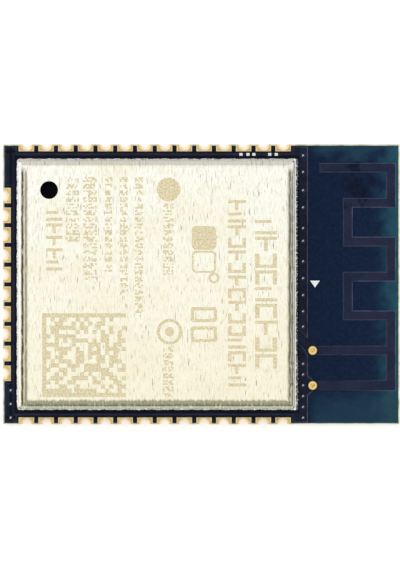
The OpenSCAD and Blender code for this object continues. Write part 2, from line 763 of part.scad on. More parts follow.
module capacitor_bodies() color("#a98a63") at_chips(capacitors) chip_core(chip_h);
module capacitor_ends() color("silver") at_chips(capacitors) chip_ends(chip_h);
module resistor_bodies() color("#e8e6df") at_chips(resistors) chip_core(resistor_h);
module resistor_ends() color("silver") at_chips(resistors) chip_ends(resistor_h);
module inductor_bodies() color("#8fa6b8") at_chips(inductors) chip_core(chip_h);
module inductor_ends() color("silver") at_chips(inductors) chip_ends(chip_h);

board();
top_mask();
bottom_mask();
top_ground();
bottom_ground();
antenna();
feed_track();
feed_hole();
grounding_hole();
stitching_holes();
front_pads();
back_pads();
end_pads_row();
ground_pad();
heat_holes();
shield_land();
shield_solder();
shield_can();
soc_lands();
soc_leads();
soc_paddle();
soc_body();
flash_lands();
flash_leads();
flash_body();
crystal_lands();
crystal_base();
crystal_cap();
chip_lands();
capacitor_bodies();
capacitor_ends();
resistor_bodies();
resistor_ends();
inductor_bodies();
inductor_ends();
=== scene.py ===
# %% [markdown]
# # A castellated radio module
# A small circuit board carries a folded metal can, rows of plated half holes along three edges
# and a printed antenna at one end. The measured solids are loaded first and stay where they
# are. Every piece made here takes its place from them, so nothing is fitted by eye. Lengths
# are in millimetres until a mesh is filled, because such a module is drawn in them.

# %% Load the measured solids
import json
import math
from functools import partialmethod

import bmesh
import bpy
import numpy as np
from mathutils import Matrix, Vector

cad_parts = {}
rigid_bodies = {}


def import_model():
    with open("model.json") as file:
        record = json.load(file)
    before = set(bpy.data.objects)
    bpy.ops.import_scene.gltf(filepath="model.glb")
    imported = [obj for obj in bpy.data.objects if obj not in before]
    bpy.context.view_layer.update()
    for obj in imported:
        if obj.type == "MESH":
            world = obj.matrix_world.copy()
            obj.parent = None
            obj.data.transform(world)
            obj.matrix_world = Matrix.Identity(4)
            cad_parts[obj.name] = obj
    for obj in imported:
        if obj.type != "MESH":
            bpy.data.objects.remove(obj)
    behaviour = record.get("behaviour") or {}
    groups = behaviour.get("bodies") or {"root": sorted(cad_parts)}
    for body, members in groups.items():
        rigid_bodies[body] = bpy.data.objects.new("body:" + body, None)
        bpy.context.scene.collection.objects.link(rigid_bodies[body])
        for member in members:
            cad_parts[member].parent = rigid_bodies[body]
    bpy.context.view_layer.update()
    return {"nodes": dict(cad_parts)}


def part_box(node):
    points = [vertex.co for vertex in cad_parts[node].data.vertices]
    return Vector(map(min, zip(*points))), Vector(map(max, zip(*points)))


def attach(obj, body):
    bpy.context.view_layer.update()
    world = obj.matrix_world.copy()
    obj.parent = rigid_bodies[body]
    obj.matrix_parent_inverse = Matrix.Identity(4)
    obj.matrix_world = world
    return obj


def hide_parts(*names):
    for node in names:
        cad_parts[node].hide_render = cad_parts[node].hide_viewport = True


for thing in list(bpy.data.objects):
    bpy.data.objects.remove(thing)
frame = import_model()
nodes = frame["nodes"]
MM = 0.001


def span(name):
    """Lowest and highest corner of a measured solid."""
    lo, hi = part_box(name)
    return np.array(lo) / MM, np.array(hi) / MM


can_lo, can_hi = span("shield_can")
board_lo, board_hi = span("board")
mask_top = span("top_mask")[1][2]
board_top = span("front_pads")[1][2]
print("can", np.round(can_lo, 3), np.round(can_hi, 3), "board top", round(board_top, 3))

# %% [markdown]
# ## Camera
# The module lies flat and is seen from straight above. A short lens would show its walls, and
# an orthographic camera would lose the last trace of them, so a long lens is used. Its length
# follows from the stretch of board that fills the frame at that distance.

# %% Look straight down
eye_x, eye_y, eye_height = -0.084, -0.039, 160.0
frame_length, sensor = 36.656, 36
camera = bpy.data.objects.new("camera", bpy.data.cameras.new("camera"))
bpy.context.scene.collection.objects.link(camera)
camera.location = (eye_x * MM, eye_y * MM, (board_top + eye_height) * MM)
camera.data.sensor_width = sensor
camera.data.lens = sensor * eye_height / frame_length
camera.data.clip_start, camera.data.clip_end = 0.001, 10
bpy.context.scene.camera = camera
print("lens", round(camera.data.lens, 2))

# %% [markdown]
# ## Small makers
# Primitives and modifiers could give rough forms of each piece, but not the profiles that
# stamped metal and solder have. Each new piece is a grid of points worked out as one array
# instead. These makers turn such arrays into a mesh, close its seams and name the body that
# it moves with.


# %% Makers for meshes
def grid_faces(rows, cols, close_rows=False, close_cols=False, start=0):
    """Four-cornered faces between neighbouring points of a rows by cols grid."""
    r = np.arange(rows if close_rows else rows - 1)
    c = np.arange(cols if close_cols else cols - 1)
    r, c = np.meshgrid(r, c, indexing="ij")
    r2, c2 = (r + 1) % rows, (c + 1) % cols
    quads = np.stack([r * cols + c, r * cols + c2, r2 * cols + c2, r2 * cols + c], -1)
    return quads.reshape(-1, 4) + start


def joined(shapes):
    """Shapes of (points, faces) as one: each one's faces count on from its own first point."""
    points, faces, start = [], [], 0
    for own_points, own_faces in shapes:
        points.append(own_points)
        faces += [(np.asarray(face) + start).tolist() for face in own_faces]
        start += len(own_points)
    return np.concatenate(points), faces


def piece(name, points, faces, slot, stands_for=(), merge=1e-5, sharp=35):
    """Makes one piece from points and faces, closes its seams and turns its faces outwards."""
    mesh = bpy.data.meshes.new(name)
    mesh.from_pydata((np.asarray(points) * MM).tolist(), [], [list(f) for f in faces])
    work = bmesh.new()
    work.from_mesh(mesh)
    if merge:
        bmesh.ops.remove_doubles(work, verts=work.verts, dist=merge * MM)
        bmesh.ops.dissolve_degenerate(work, edges=work.edges, dist=merge * MM)
        bmesh.ops.recalc_face_normals(work, faces=work.faces)
    bmesh.ops.delete(work, geom=[v for v in work.verts if not v.link_faces], context="VERTS")
    work.to_mesh(mesh)
    work.free()
    mesh.shade_smooth()
    mesh.set_sharp_from_angle(angle=math.radians(sharp))
    made = bpy.data.objects.new(name, mesh)
    bpy.context.scene.collection.objects.link(made)
    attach(made, "root")
    if stands_for:
        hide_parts(*stands_for)
    print(name, len(mesh.vertices), "points", len(mesh.polygons), "faces")
    return made


def points_of(mesh):
    """Points of a mesh as rows."""
    flat = np.empty(3 * len(mesh.vertices))
    mesh.vertices.foreach_get("co", flat)
    return flat.reshape(-1, 3) / MM


# %% [markdown]
# ## Shield can
# The can is one sheet of plated steel with its four sides folded down. A box with bevelled
# edges comes close, but a bevel also rounds the upright corners, where the real sheet is cut
# and mitred. Across the sheet, the height depends on x alone near two walls and on y alone
# near the other two. So the whole skin is the lower of two folded profiles at each point, and
# that mitres the corners by itself.

# %% Folded skin
sheet, fold, fold_steps = 0.2, 0.6, 14


def folded_profile(length, height, radius):
    """Positions and heights along one wall, one fold, the lid, the other fold and the other wall.
    The fold is a quarter circle: in by r(1 - sin a) from the wall, up to h - r + r cos a."""
    a = np.linspace(np.pi / 2, 0, fold_steps)
    inward = radius * (1 - np.sin(a))
    rise = height - radius + radius * np.cos(a)
    half = np.concatenate([[0.0], inward]) - length / 2
    up = np.concatenate([[0.0], rise])
    return np.concatenate([half, -half[::-1]]), np.concatenate([up, up[::-1]])


def folded_skin(length, width, height, radius):
    """Skin over a length by width rectangle: at (u, v) the height is the lower of the two
    profiles, one along each side."""
    x, zx = folded_profile(length, height, radius)
    y, zy = folded_profile(width, height, radius)
    x, y = np.meshgrid(x, y, indexing="ij")
    return np.stack([x, y, np.minimum(zx[:, None], zy[None, :])], -1)


def rim(rows, cols, start=0):
    """Numbers of the points round the edge of a grid, in order."""
    i = np.arange(rows * cols).reshape(rows, cols) + start
    return np.concatenate([i[0, :-1], i[:-1, -1], i[-1, :0:-1], i[:0:-1, 0]])


can_size = can_hi - can_lo
can_mid = (can_lo + can_hi) / 2
outside = folded_skin(*can_size, fold)
inside = folded_skin(*(can_size - [2 * sheet, 2 * sheet, sheet]), fold - sheet)
rows, cols = outside.shape[:2]
count = rows * cols
outer_rim, inner_rim = rim(rows, cols), rim(rows, cols, count)
foot = np.stack([outer_rim, np.roll(outer_rim, -1), np.roll(inner_rim, -1), inner_rim], -1)
print("skin grid", rows, "by", cols)

# %% [markdown]
# A four-cornered face that crosses a mitre would be bent there. Those faces are split along
# the mitre line, so that the fold stays crisp.


# %% Mitred corners
def mitred(quads, flip):
    """Faces of a skin, where those of the four corner squares are split along the diagonal that
    runs towards the middle of the lid."""
    near_wall = fold_steps + 1
    r, c = (quads[:, 0] % count) // cols, (quads[:, 0] % count) % cols
    low_r, low_c = r < near_wall, c < near_wall
    near = (low_r | (r >= rows - 1 - near_wall)) & (low_c | (c >= cols - 1 - near_wall))
    same = (low_r == low_c)[:, None]
    a = np.where(same, quads[:, [0, 1, 2]], quads[:, [0, 1, 3]])
    b = np.where(same, quads[:, [0, 2, 3]], quads[:, [1, 2, 3]])
    faces = np.concatenate([a[near], b[near]]).tolist() + quads[~near].tolist()
    return [f[::-1] for f in faces] if flip else faces


skin_points = np.concatenate([outside.reshape(-1, 3), inside.reshape(-1, 3)])
skin_points += [can_mid[0], can_mid[1], can_lo[2]]
skin_faces = mitred(grid_faces(rows, cols), False) + mitred(grid_faces(rows, cols, start=count), True)
shell = piece("shield_shell", skin_points, skin_faces + foot.tolist(), "can", ["shield_can"], sharp=30)

# %% [markdown]
# Two kinds of opening go through the sheet: a round vent in the lid, and at each corner a
# slot between the walls that ends in a round relief hole, which keeps the folds from tearing.
# Solder has drawn up into the slots, so little of them stays open. A dark disc painted on the
# lid would do from above, but not from the side. Each cutter is a prism over an outline, and
# one exact Boolean takes all of them out.


# %% Cutters for the vent and the corner reliefs
def prism(outline, low, high):
    """Closed upright prism over an outline: its points and faces."""
    n = len(outline)
    ring = np.concatenate([np.c_[outline, np.full(n, low)], np.c_[outline, np.full(n, high)]])
    sides = grid_faces(2, n, close_cols=True).tolist()
    return ring, sides + [list(range(n))[::-1], list(range(n, 2 * n))]


def circle(x, y, radius, steps):
    """Points evenly round a circle."""
    a = np.arange(steps) * 2 * np.pi / steps
    return np.c_[x + radius * np.cos(a), y + radius * np.sin(a)]


vent_d, vent_in = 1.1, (2.0, 1.92)
vent_at = np.array([can_lo[0] + vent_in[0], can_hi[1] - vent_in[1]])
relief_d, relief_in, slot_w = 0.09, 0.1, 0.055
mouth = math.asin(slot_w / relief_d)
arc = np.linspace(mouth, 2 * np.pi - mouth, 21)
keyhole = np.concatenate([
    relief_d / 2 * np.c_[np.cos(arc), np.sin(arc)],
    [[2.2 * relief_in, -slot_w / 2], [2.2 * relief_in, slot_w / 2]],
])
cuts = [prism(circle(*vent_at, vent_d / 2, 64), can_lo[2] + 1, can_hi[2] + 1)]
for side in np.array([[1, 1], [-1, 1], [-1, -1], [1, -1]]):
    turn = math.atan2(side[1], side[0])
    spin = np.array([[math.cos(turn), math.sin(turn)], [-math.sin(turn), math.cos(turn)]])
    corner = can_mid[:2] + side * (can_size[:2] / 2 - relief_in)
    cuts.append(prism(keyhole @ spin + corner, can_lo[2] - 1, can_hi[2] + 1))
cut_points, cut_faces = joined(cuts)
print(len(cuts), "cutters")

# %% Open the shell
cutter_mesh = bpy.data.meshes.new("can_cutter")
cutter_mesh.from_pydata((cut_points * MM).tolist(), [], cut_faces)
cutter = bpy.data.objects.new("can_cutter", cutter_mesh)
bpy.context.scene.collection.objects.link(cutter)
cut = shell.modifiers.new("openings", "BOOLEAN")
cut.operation, cut.solver, cut.object = "DIFFERENCE", "EXACT", cutter
bpy.context.view_layer.update()
opened = bpy.data.meshes.new_from_object(shell.evaluated_get(bpy.context.evaluated_depsgraph_get()))
shell.modifiers.clear()
shell.data = opened
opened.name = "shield_shell"
opened.set_sharp_from_angle(angle=math.radians(30))
bpy.data.objects.remove(cutter)
print("opened shell", len(opened.vertices), "points", len(opened.polygons), "faces")

# %% [markdown]
# ## Solder round the can
# Solder climbs a little way up the walls and runs out over the land, never evenly. A bevelled
# curve swept round the foot would be even, and round in section. Here one hollow profile is
# carried round the foot instead, and its width comes from a sum of slow and quick waves, so
# that the edge wanders as melted solder does. Beside the antenna the bead is low and narrow,
# so that it stays clear of the feed track, and it spreads again near the corners.


# %% Path and waves of the bead
def wander(s, seed, waves=((1.9, 0.3), (0.83, 0.35), (0.31, 0.25), (0.13, 0.1))):
    """Sum of sine waves of given lengths and shares, each with its own phase."""
    phase = np.random.default_rng(seed).uniform(0, 2 * np.pi, len(waves))
    return sum(share * np.sin(2 * np.pi * s / length + p) for (length, share), p in zip(waves, phase))


def round_the_can(step=0.06, corner_steps=10):
    """Points along the can's foot, with the outward direction at each: straight on the walls,
    turning through a quarter circle on the spot at each corner."""
    half = can_size[:2] / 2
    corners = np.array([[1, -1], [1, 1], [-1, 1], [-1, -1]]) * half
    places, out = [], []
    for k, (start, end) in enumerate(zip(corners, np.roll(corners, -1, 0))):
        a = np.radians(-90 + 90 * k + np.linspace(0, 90, corner_steps))
        t = np.linspace(0, 1, int(np.abs(end - start).max() / step))[1:-1, None]
        places += [np.tile(start, (corner_steps, 1)), start + t * (end - start)]
        out += [np.c_[np.cos(a), np.sin(a)], np.tile([math.cos(a[-1]), math.sin(a[-1])], (len(t), 1))]
    return np.concatenate(places) + can_mid[:2], np.concatenate(out)


foot_line, outward = round_the_can()
s = np.concatenate([[0], np.cumsum(np.hypot(*np.diff(foot_line, axis=0).T) + 0.02)])
print("foot of the can", round(s[-1], 1), "mm in", len(s), "steps")

# %% Solder bead
feed_at, ground_at = [sum(span(name))[:2] / 2 for name in ("feed_hole", "grounding_hole")]
to_right, to_left, to_low = [np.clip(outward @ way, 0, 1) for way in ([1, 0], [-1, 0], [0, -1])]
past_feed, near_top = feed_at[1] - foot_line[:, 1], foot_line[:, 1] - can_hi[1] + 1.6
spilt = to_right * np.clip(np.maximum(past_feed, near_top), 0, 0.8)
width = 0.18 - 0.02 * to_low + 0.03 * to_left
width += to_right * (0.04 + 0.06 * wander(s, 11, ((0.37, 0.5), (0.22, 0.5)))) + 0.05 * spilt
width = np.clip(width + 0.035 * wander(s, 3) * (1 - 0.6 * to_right), 0.12, 0.34)
height = np.clip(0.2 - 0.1 * to_right + 0.05 * wander(s, 8) * (1 - 0.7 * to_right), 0.07, 0.3)
u = np.linspace(0, 1, 8)
reach = np.tile(np.concatenate([[-0.005], u, [1.0]]), (len(s), 1))
climb = np.tile(np.concatenate([[0.0], (1 - u) ** 1.7, [0.0]]), (len(s), 1))
climb[:, 1:-1] *= 1 + 0.12 * np.sin(9 * u + 6 * wander(s, 5)[:, None]) * np.sin(np.pi * u)
bead = np.empty(reach.shape + (3,))
bead[..., :2] = foot_line[:, None] + outward[:, None] * (reach * width[:, None])[..., None]
bead[..., 2] = can_lo[2] + climb * height[:, None]
bead[:, -2, 2] = can_lo[2] + 0.008
bead_faces = grid_faces(*reach.shape, close_rows=True, close_cols=True)
solder = piece("solder_bead", bead.reshape(-1, 3), bead_faces.tolist(), "tin", ["shield_solder"],
               merge=1e-4, sharp=60)

# %% [markdown]
# ## Castellated pads
# This is the feature that makes the module: each pad is a gold plate on the top face, a plate
# on the underside and, between them, half of a plated hole that the board's edge cuts open.
# Cutting a ring with a Boolean leaves thin ragged faces on the rim, just where the eye goes,
# so the skin is worked out directly as nine closed loops with the same number of points.
# Every loop has the half circle of the hole on its inner side. Its outer side is first the
# plate's edge, then the barrel's back, then the plate's edge again. The last loops open the
# half circle a little, because the cutter rounds the plate over where it runs into the hole.


# %% One castellation
def plate_edge(width, length, steps):
    """Points from one end of a plate's edge to the other, round its two inner corners.
    The board's edge is x = 0, and the plate reaches in to x = length."""
    corners = np.array([[0, -width / 2], [length, -width / 2], [length, width / 2], [0, width / 2]])
    run = np.concatenate([[0], np.cumsum(np.hypot(*np.diff(corners, axis=0).T))])
    even = np.linspace(0, run[-1], steps)
    for corner in run[1:3]:
        even[np.abs(even - corner).argmin()] = corner
    return np.c_[np.interp(even, run, corners[:, 0]), np.interp(even, run, corners[:, 1])]


def castellation(top_w, top_l, under_w, under_l, hole_r, wall, t, high, steps=25, soft=0.018):
    """Closed skin of one pad as loops stacked from the underside to the top face."""
    a = np.linspace(np.pi / 2, -np.pi / 2, steps)
    ray = np.c_[np.cos(a), np.sin(a)]
    under, top = plate_edge(under_w, under_l, steps), plate_edge(top_w, top_l, steps)
    back = ray[::-1] * (hole_r + wall)
    half = top_w / 2 - soft
    ease = np.c_[np.minimum(top[:, 0], top_l - soft), np.clip(top[:, 1], -half, half)]
    worn = top + 0.4 * (ease - top)
    levels = [
        # outer side, radius of the inner side, height
        (under, hole_r, 0.0), (under, hole_r, t), (back, hole_r, t), (back, hole_r, high - t),
        (top, hole_r, high - t), (top, hole_r + 0.015, high - 0.045), (top, hole_r + 0.05, high - 0.022),
        (worn, hole_r + 0.09, high - 0.007), (ease, hole_r + 0.13, high),
    ]
    loops = [np.c_[np.concatenate([ray * r, edge]), np.full(2 * steps, z)] for edge, r, z in levels]
    sides = grid_faces(len(levels), 2 * steps, close_cols=True).tolist()
    k = np.arange(steps - 1)
    cap = np.stack([k, k + 1, 2 * steps - 2 - k, 2 * steps - 1 - k], -1)
    lid = cap + (len(levels) - 1) * 2 * steps
    return np.concatenate(loops), sides + cap[:, ::-1].tolist() + lid.tolist()


# %% [markdown]
# The 38 pads differ only in place and direction, so one castellation is copied along each
# edge. Each point also keeps where it lies on its own pad, as an attribute, so that the
# finish can follow the borders of every pad and not the board as a whole.


# %% Rows of pads
def pad_row(name, centres, along, edge, turn, size):
    """Copies one castellation to each centre on a straight board edge, turned into the board."""
    points, faces = castellation(*size)
    c, s = math.cos(turn), math.sin(turn)
    points = points @ np.array([[c, s, 0], [-s, c, 0], [0, 0, 1]])
    shift = np.zeros((len(centres), 3))
    shift[:, along], shift[:, 1 - along] = centres, edge
    copies = joined([(points + move, faces) for move in shift])
    skin = piece(name + "_skin", *copies, "gold", [name], sharp=40)
    at = points_of(skin.data)
    depth = np.abs(at[:, 1 - along] - edge)
    aside = at[:, along] - centres[np.abs(at[:, along, None] - centres).argmin(1)]
    own = skin.data.attributes.new("pad", "FLOAT_VECTOR", "POINT")
    own.data.foreach_set("vector", np.c_[aside, size[1] - depth, depth].ravel())
    return skin


pad_w, side_l, end_l, under_w = 1.0, 0.45, 0.5, 0.9
hole_r, plating, plate_t = 0.3, 0.04, 0.065
barrel = (under_w, under_w, hole_r, plating, plate_t, board_top)
front_lo, front_hi = span("front_pads")
end_lo, end_hi = span("end_pads_row")
side_centres = np.linspace(front_lo[0] + pad_w / 2, front_hi[0] - pad_w / 2, 14)
end_centres = np.linspace(end_lo[1] + pad_w / 2, end_hi[1] - pad_w / 2, 10)
front = pad_row("front_pads", side_centres, 0, board_lo[1], math.pi / 2, (pad_w, side_l, *barrel))
back = pad_row("back_pads", side_centres, 0, board_hi[1], -math.pi / 2, (pad_w, side_l, *barrel))
end = pad_row("end_pads_row", end_centres, 1, board_lo[0], 0, (pad_w, end_l, *barrel))

# %% [markdown]
# ## Feed and grounding eyelets
# The antenna's two legs end in small plated eyelets, whose plating has closed over in the
# middle. A torus gives the ring but no dimple and no underside. A profile turned about the
# upright axis gives all of it at once.


# %% Turned eyelets
def turned(profile, x, y, steps=48):
    """Turns a profile of (radius, height) points about an upright axis at (x, y)."""
    a = np.arange(steps) * 2 * np.pi / steps
    r, z = profile[:, 0][:, None], profile[:, 1][:, None]
    return np.stack([x + r * np.cos(a), y + r * np.sin(a), z + 0 * a], -1)


ring_profile = np.array([
    [0.0, -0.05], [0.05, -0.048], [0.1, -0.036], [0.135, -0.012], [0.165, 0.0], [0.2, 0.004],
    [0.25, 0.004], [0.28, -0.002], [0.297, -0.014], [0.3, -0.03], [0.3, -0.065], [0.19, -0.065],
])
eyelets = []
for name, at in (("feed_hole", feed_at), ("grounding_hole", ground_at)):
    lo, hi = span(name)
    lower = ring_profile[::-1] * [1, -1] + [0, lo[2]]
    lower[:, 1] = np.maximum(lower[:, 1], 0)
    ring = turned(np.concatenate([ring_profile + [0, hi[2]], lower]), *at)
    faces = grid_faces(*ring.shape[:2], close_cols=True).tolist()
    eyelets.append(piece(name + "_eyelet", ring.reshape(-1, 3), faces, "gold", [name], sharp=50))

# %% [markdown]
# ## Mask shoulders
# Solder mask is a liquid film that drapes over the copper. Where it runs down over an edge
# it thins and catches the light, which is why buried tracks show as fine pale lines. Lines
# painted in the finish would lie flat, so the shoulders are real slopes, and their finish adds
# a painted highlight by the way they face. Their course comes from the copper itself: an edge
# of its top face that belongs to one triangle only is an outline edge.


# %% Outline of a copper foil
def foil_outline(name):
    """Outline edges of a foil's top face, with its interior on their left: points and pairs."""
    work = bmesh.new()
    work.from_mesh(nodes[name].data)
    bmesh.ops.remove_doubles(work, verts=work.verts, dist=1e-7)
    bmesh.ops.dissolve_limit(work, angle_limit=0.01, verts=work.verts, edges=work.edges)
    bmesh.ops.triangulate(work, faces=work.faces)
    merged = bpy.data.meshes.new("merged_foil")
    work.to_mesh(merged)
    work.free()
    points = points_of(merged)
    faces, normals = np.empty(3 * len(merged.polygons), np.int32), np.empty(3 * len(merged.polygons))
    merged.loops.foreach_get("vertex_index", faces)
    merged.polygons.foreach_get("normal", normals)
    bpy.data.meshes.remove(merged)
    faces = faces.reshape(-1, 3)[normals.reshape(-1, 3)[:, 2] > 0.9].astype(int)
    pairs = np.concatenate([faces[:, [0, 1]], faces[:, [1, 2]], faces[:, [2, 0]]])
    key, back_key = pairs @ [len(points), 1], pairs @ [1, len(points)]
    return points, pairs[~np.isin(key, back_key)]


# %% [markdown]
# A small sloping section is carried along those edges. Shifting it square to each edge would
# leave gaps at the corners, so it is shifted along the mitre there.

# %% Shoulder along an outline
slope_from, slope_to = 0.022, 0.07


def shoulder(points, pairs, keep, low, high):
    """Carries a sloping section along the kept edges. At each point the section is shifted along
    (n1 + n2) / (1 + n1.n2), the mitre of the outward normals of the two edges that meet there."""
    along = points[pairs[:, 1], :2] - points[pairs[:, 0], :2]
    along /= np.maximum(np.hypot(*along.T), 1e-9)[:, None]
    normal = np.c_[along[:, 1], -along[:, 0]]
    n_in, n_out = np.zeros((len(points), 2)), np.zeros((len(points), 2))
    n_in[pairs[:, 1]], n_out[pairs[:, 0]] = normal, normal
    mitre = (n_in + n_out) / np.maximum(1 + (n_in * n_out).sum(1), 0.3)[:, None]
    u = np.linspace(0, 1, 5)
    across = np.concatenate([[-0.005], slope_from + u * (slope_to - slope_from), [-0.005]])
    drop = np.concatenate([[0.0], (u * u * (3 - 2 * u)), [1.0]])
    k = len(across)
    rings = np.empty((len(points), k, 3))
    rings[..., :2] = points[:, None, :2] + mitre[:, None] * across[None, :, None]
    rings[..., 2] = high - drop * (high - low)
    first, last = pairs[keep].T
    i = np.arange(k)
    j = (i + 1) % k
    a, b = first[:, None] * k, last[:, None] * k
    quads = np.stack([a + i, b + i, b + j, a + j], -1).reshape(-1, 4).tolist()
    quads += (first[~np.isin(first, last), None] * k + i[::-1]).tolist()
    quads += (last[~np.isin(last, first), None] * k + i).tolist()
    return rings.reshape(-1, 3), quads


print("a shoulder is", round(slope_to - slope_from, 3), "wide")

# %% [markdown]
# The shoulders run along the antenna and along the ground copper. They stop where the mask
# does: under the solder, round the two eyelets and at the board's edges.

# %% Shoulders of the antenna and the ground copper
bead_out, eyelet_out, trim = 0.305, 0.33, 0.15
mask_low = span("top_ground")[0][2] + 0.0255
shoulder_shapes = []
for name in ("antenna", "top_ground"):
    points, pairs = foil_outline(name)
    first, last = points[pairs[:, 0], :2], points[pairs[:, 1], :2]
    middle = (first + last) / 2
    keep = (np.abs(middle - can_mid[:2]) - can_size[:2] / 2 > bead_out).any(1)
    for hole in (feed_at, ground_at):
        keep &= np.hypot(*(middle - hole).T) > eyelet_out
    if name == "antenna":
        keep &= np.abs(middle[:, 1]) < board_hi[1] - trim
    else:
        keep &= np.hypot(*(last - first).T) >= 0.06  # short edges belong to round clearances
    shoulder_shapes.append(shoulder(points, pairs, keep, mask_low, mask_top + 0.002))
shoulders = piece("mask_shoulders", *joined(shoulder_shapes), "solder_mask", merge=0, sharp=50)

# %% [markdown]
# ## Plugs over the stitching holes
# A row of small holes ties the ground copper of the two faces together. The mask closes each
# of them with a little bump that glints on one side. Spheres would be too tall and too many
# faces, so each bump is a low turned dome. Their places come from the solid: its points are
# grouped by their nearest neighbours, and each group's middle is a hole.

# %% Domed plugs
barrels = points_of(nodes["stitching_holes"].data)[:, :2]
left = np.ones(len(barrels), bool)
hole_at = []
while left.any():
    near = left & (np.hypot(*(barrels - barrels[left.argmax()]).T) < 0.28)
    hole_at.append((barrels[near].min(0) + barrels[near].max(0)) / 2)
    left &= ~near
hole_at = np.array(hole_at)
dome = np.array([[0.0, 0.03], [0.035, 0.027], [0.07, 0.018], [0.1, 0.006], [0.12, 0.0],
                 [0.12, -0.02], [0.0, -0.02]])
dome_faces = grid_faces(len(dome), 14, close_cols=True).tolist()
domes = [(turned(dome + [0, mask_top], *at, 14).reshape(-1, 3), dome_faces) for at in hole_at]
plugs = piece("mask_plugs", *joined(domes), "solder_mask", sharp=60)
print("stitching holes", len(hole_at))

# %% Glint on each plug
# The glint is painted: each point keeps its share of a painted highlight as the attribute lit.
spots = points_of(plugs.data)[:, None, :2] - hole_at[None]
spots = spots[np.arange(len(spots)), np.hypot(spots[..., 0], spots[..., 1]).argmin(1)]
along, across = spots @ [0.71, 0.71], spots @ [0.71, -0.71]
lit = np.exp(-(along / 0.11) ** 2 - ((across + 0.02) / 0.055) ** 2)
plugs.data.attributes.new("lit", "FLOAT", "POINT").data.foreach_set("value", lit)
print("brightest point", round(lit.max(), 2))

# %% [markdown]
# ## Marks on the lid
# The lid carries laser marks: fields where the brushed face has been made matt. A painted
# mask would need an image, so they are very thin slabs that stand a hair above the lid. They
# follow a fixed drawing of lines, a square of cells and a few plain discs, and spell nothing.


# %% Slabs of etched metal
def slabs(boxes, low, high):
    """Closed upright slabs from rows of (x0, y0, x1, y1): all their points and faces at once."""
    b = np.asarray(boxes, float)
    points = np.empty((len(b), 2, 4, 3))
    points[..., :2] = b[:, None, [[0, 1], [2, 1], [2, 3], [0, 3]]]
    points[..., 2] = [[low], [high]]
    one = np.array([[3, 2, 1, 0], [4, 5, 6, 7], [0, 1, 5, 4], [1, 2, 6, 5], [2, 3, 7, 6], [3, 0, 4, 7]])
    every = one + 8 * np.arange(len(b))[:, None, None]
    return points.reshape(-1, 3), every.reshape(-1, 4).tolist()


def fine_line(x0, x1, top, bottom, seed, cell=0.105, group=3, share=0.56):
    """Boxes down a line of small marks: cells filled at random, with a bare row after each group."""
    rng = np.random.default_rng(seed)
    across_n, down_n = round((x1 - x0) / cell), int((top - bottom) / cell)
    on = rng.random((across_n, down_n)) < share
    on[:, group::group + 1] = False
    i, j = np.nonzero(on)
    x, y = x0 + i * (x1 - x0) / across_n, top - (j + 1) * cell
    return np.c_[x, y, x + (x1 - x0) / across_n, y + cell].tolist()


print("a fine line of", len(fine_line(0, 1, 5, 0, 1)), "cells in 5 mm")

# %% [markdown]
# Large marks read as bold signs. Four plain forms of bars and posts give that rhythm, where
# real letters would say something.


# %% Lines of large marks
def line_of_blocks(x0, x1, top, bottom, seed, advance, gap=0.16):
    """Boxes down a line of large marks: arches, posts, cups and bars in a fixed random order."""
    n = int((top - bottom) / (advance + gap))
    kind = np.random.default_rng(seed).integers(0, 4, n)
    pitch = (top - bottom) / n
    boxes = []
    for k in range(n):
        y1 = top - k * pitch
        y0 = y1 - pitch + gap
        bar = min(0.2, (y1 - y0) * 0.36)
        form = [  # each bar runs from a share of the width and a height to another
            [(0, y1 - bar, 1, y1), (0, y0, 0.2, y1 - bar), (0.82, y0, 1, y1 - bar)],
            [(0, y1 - bar, 1, y1), (0.4, y0, 0.58, y1 - bar)],
            [(0, y0, 0.2, y1), (0.2, y0, 0.8, y0 + bar), (0.8, y0, 1, y1)],
            [(0, y0, 1, y0 + bar), (0, y1 - 0.9 * bar, 0.75, y1)],
        ][kind[k]]
        boxes += [(x0 + a * (x1 - x0), low, x0 + b * (x1 - x0), high) for a, low, b, high in form]
    return boxes


fine_lines = [
    # x0, x1, top, bottom
    (-8.58, -7.76, 6.8, 2.56), (-7.5, -6.62, 6.8, 0.21), (-6.11, -5.66, 6.8, 0.72),
    (-5.15, -4.67, 6.8, -0.67), (-4.21, -3.7, 6.8, -1.81), (-2.43, -1.77, 5.12, 0.47),
    (-2.43, -1.77, -3.95, -7.14),
]
large_lines = [
    # x0, x1, top, bottom, step along the line
    (-9.84, -8.8, 4.65, 0.72, 0.62), (1.69, 2.83, 5.35, -6.63, 0.62), (3.41, 4.8, 4.08, -5.49, 0.86),
]
boxes = []
for k, place in enumerate(fine_lines):
    boxes += fine_line(*place, seed=40 + k)
for k, (*place, advance) in enumerate(large_lines):
    boxes += line_of_blocks(*place, 20 + k, advance)
print(len(boxes), "blocks in", len(fine_lines) + len(large_lines), "lines")

# %% [markdown]
# The square of cells is filled at random from one fixed seed, so it looks like a code and
# holds none. Round and rounded fields are prisms and flat bands over the same outlines.


# %% Square of cells, discs and fields
def rounded(x0, y0, x1, y1, r, steps=8):
    """Outline of a rectangle with quarter-circle corners."""
    a = np.linspace(0, np.pi / 2, steps)
    middles = [(x1 - r, y1 - r), (x0 + r, y1 - r), (x0 + r, y0 + r), (x1 - r, y0 + r)]
    turns = [a + k * np.pi / 2 for k in range(4)]
    quarters = [np.c_[x + r * np.cos(t), y + r * np.sin(t)] for (x, y), t in zip(middles, turns)]
    return np.concatenate(quarters)


def band(outer, inner, low, high):
    """Closed flat band between two outlines with the same number of points."""
    rings = [(outer, low), (outer, high), (inner, high), (inner, low)]
    loops = [np.c_[p, np.full(len(outer), z)] for p, z in rings]
    return np.concatenate(loops), grid_faces(4, len(outer), close_rows=True, close_cols=True).tolist()


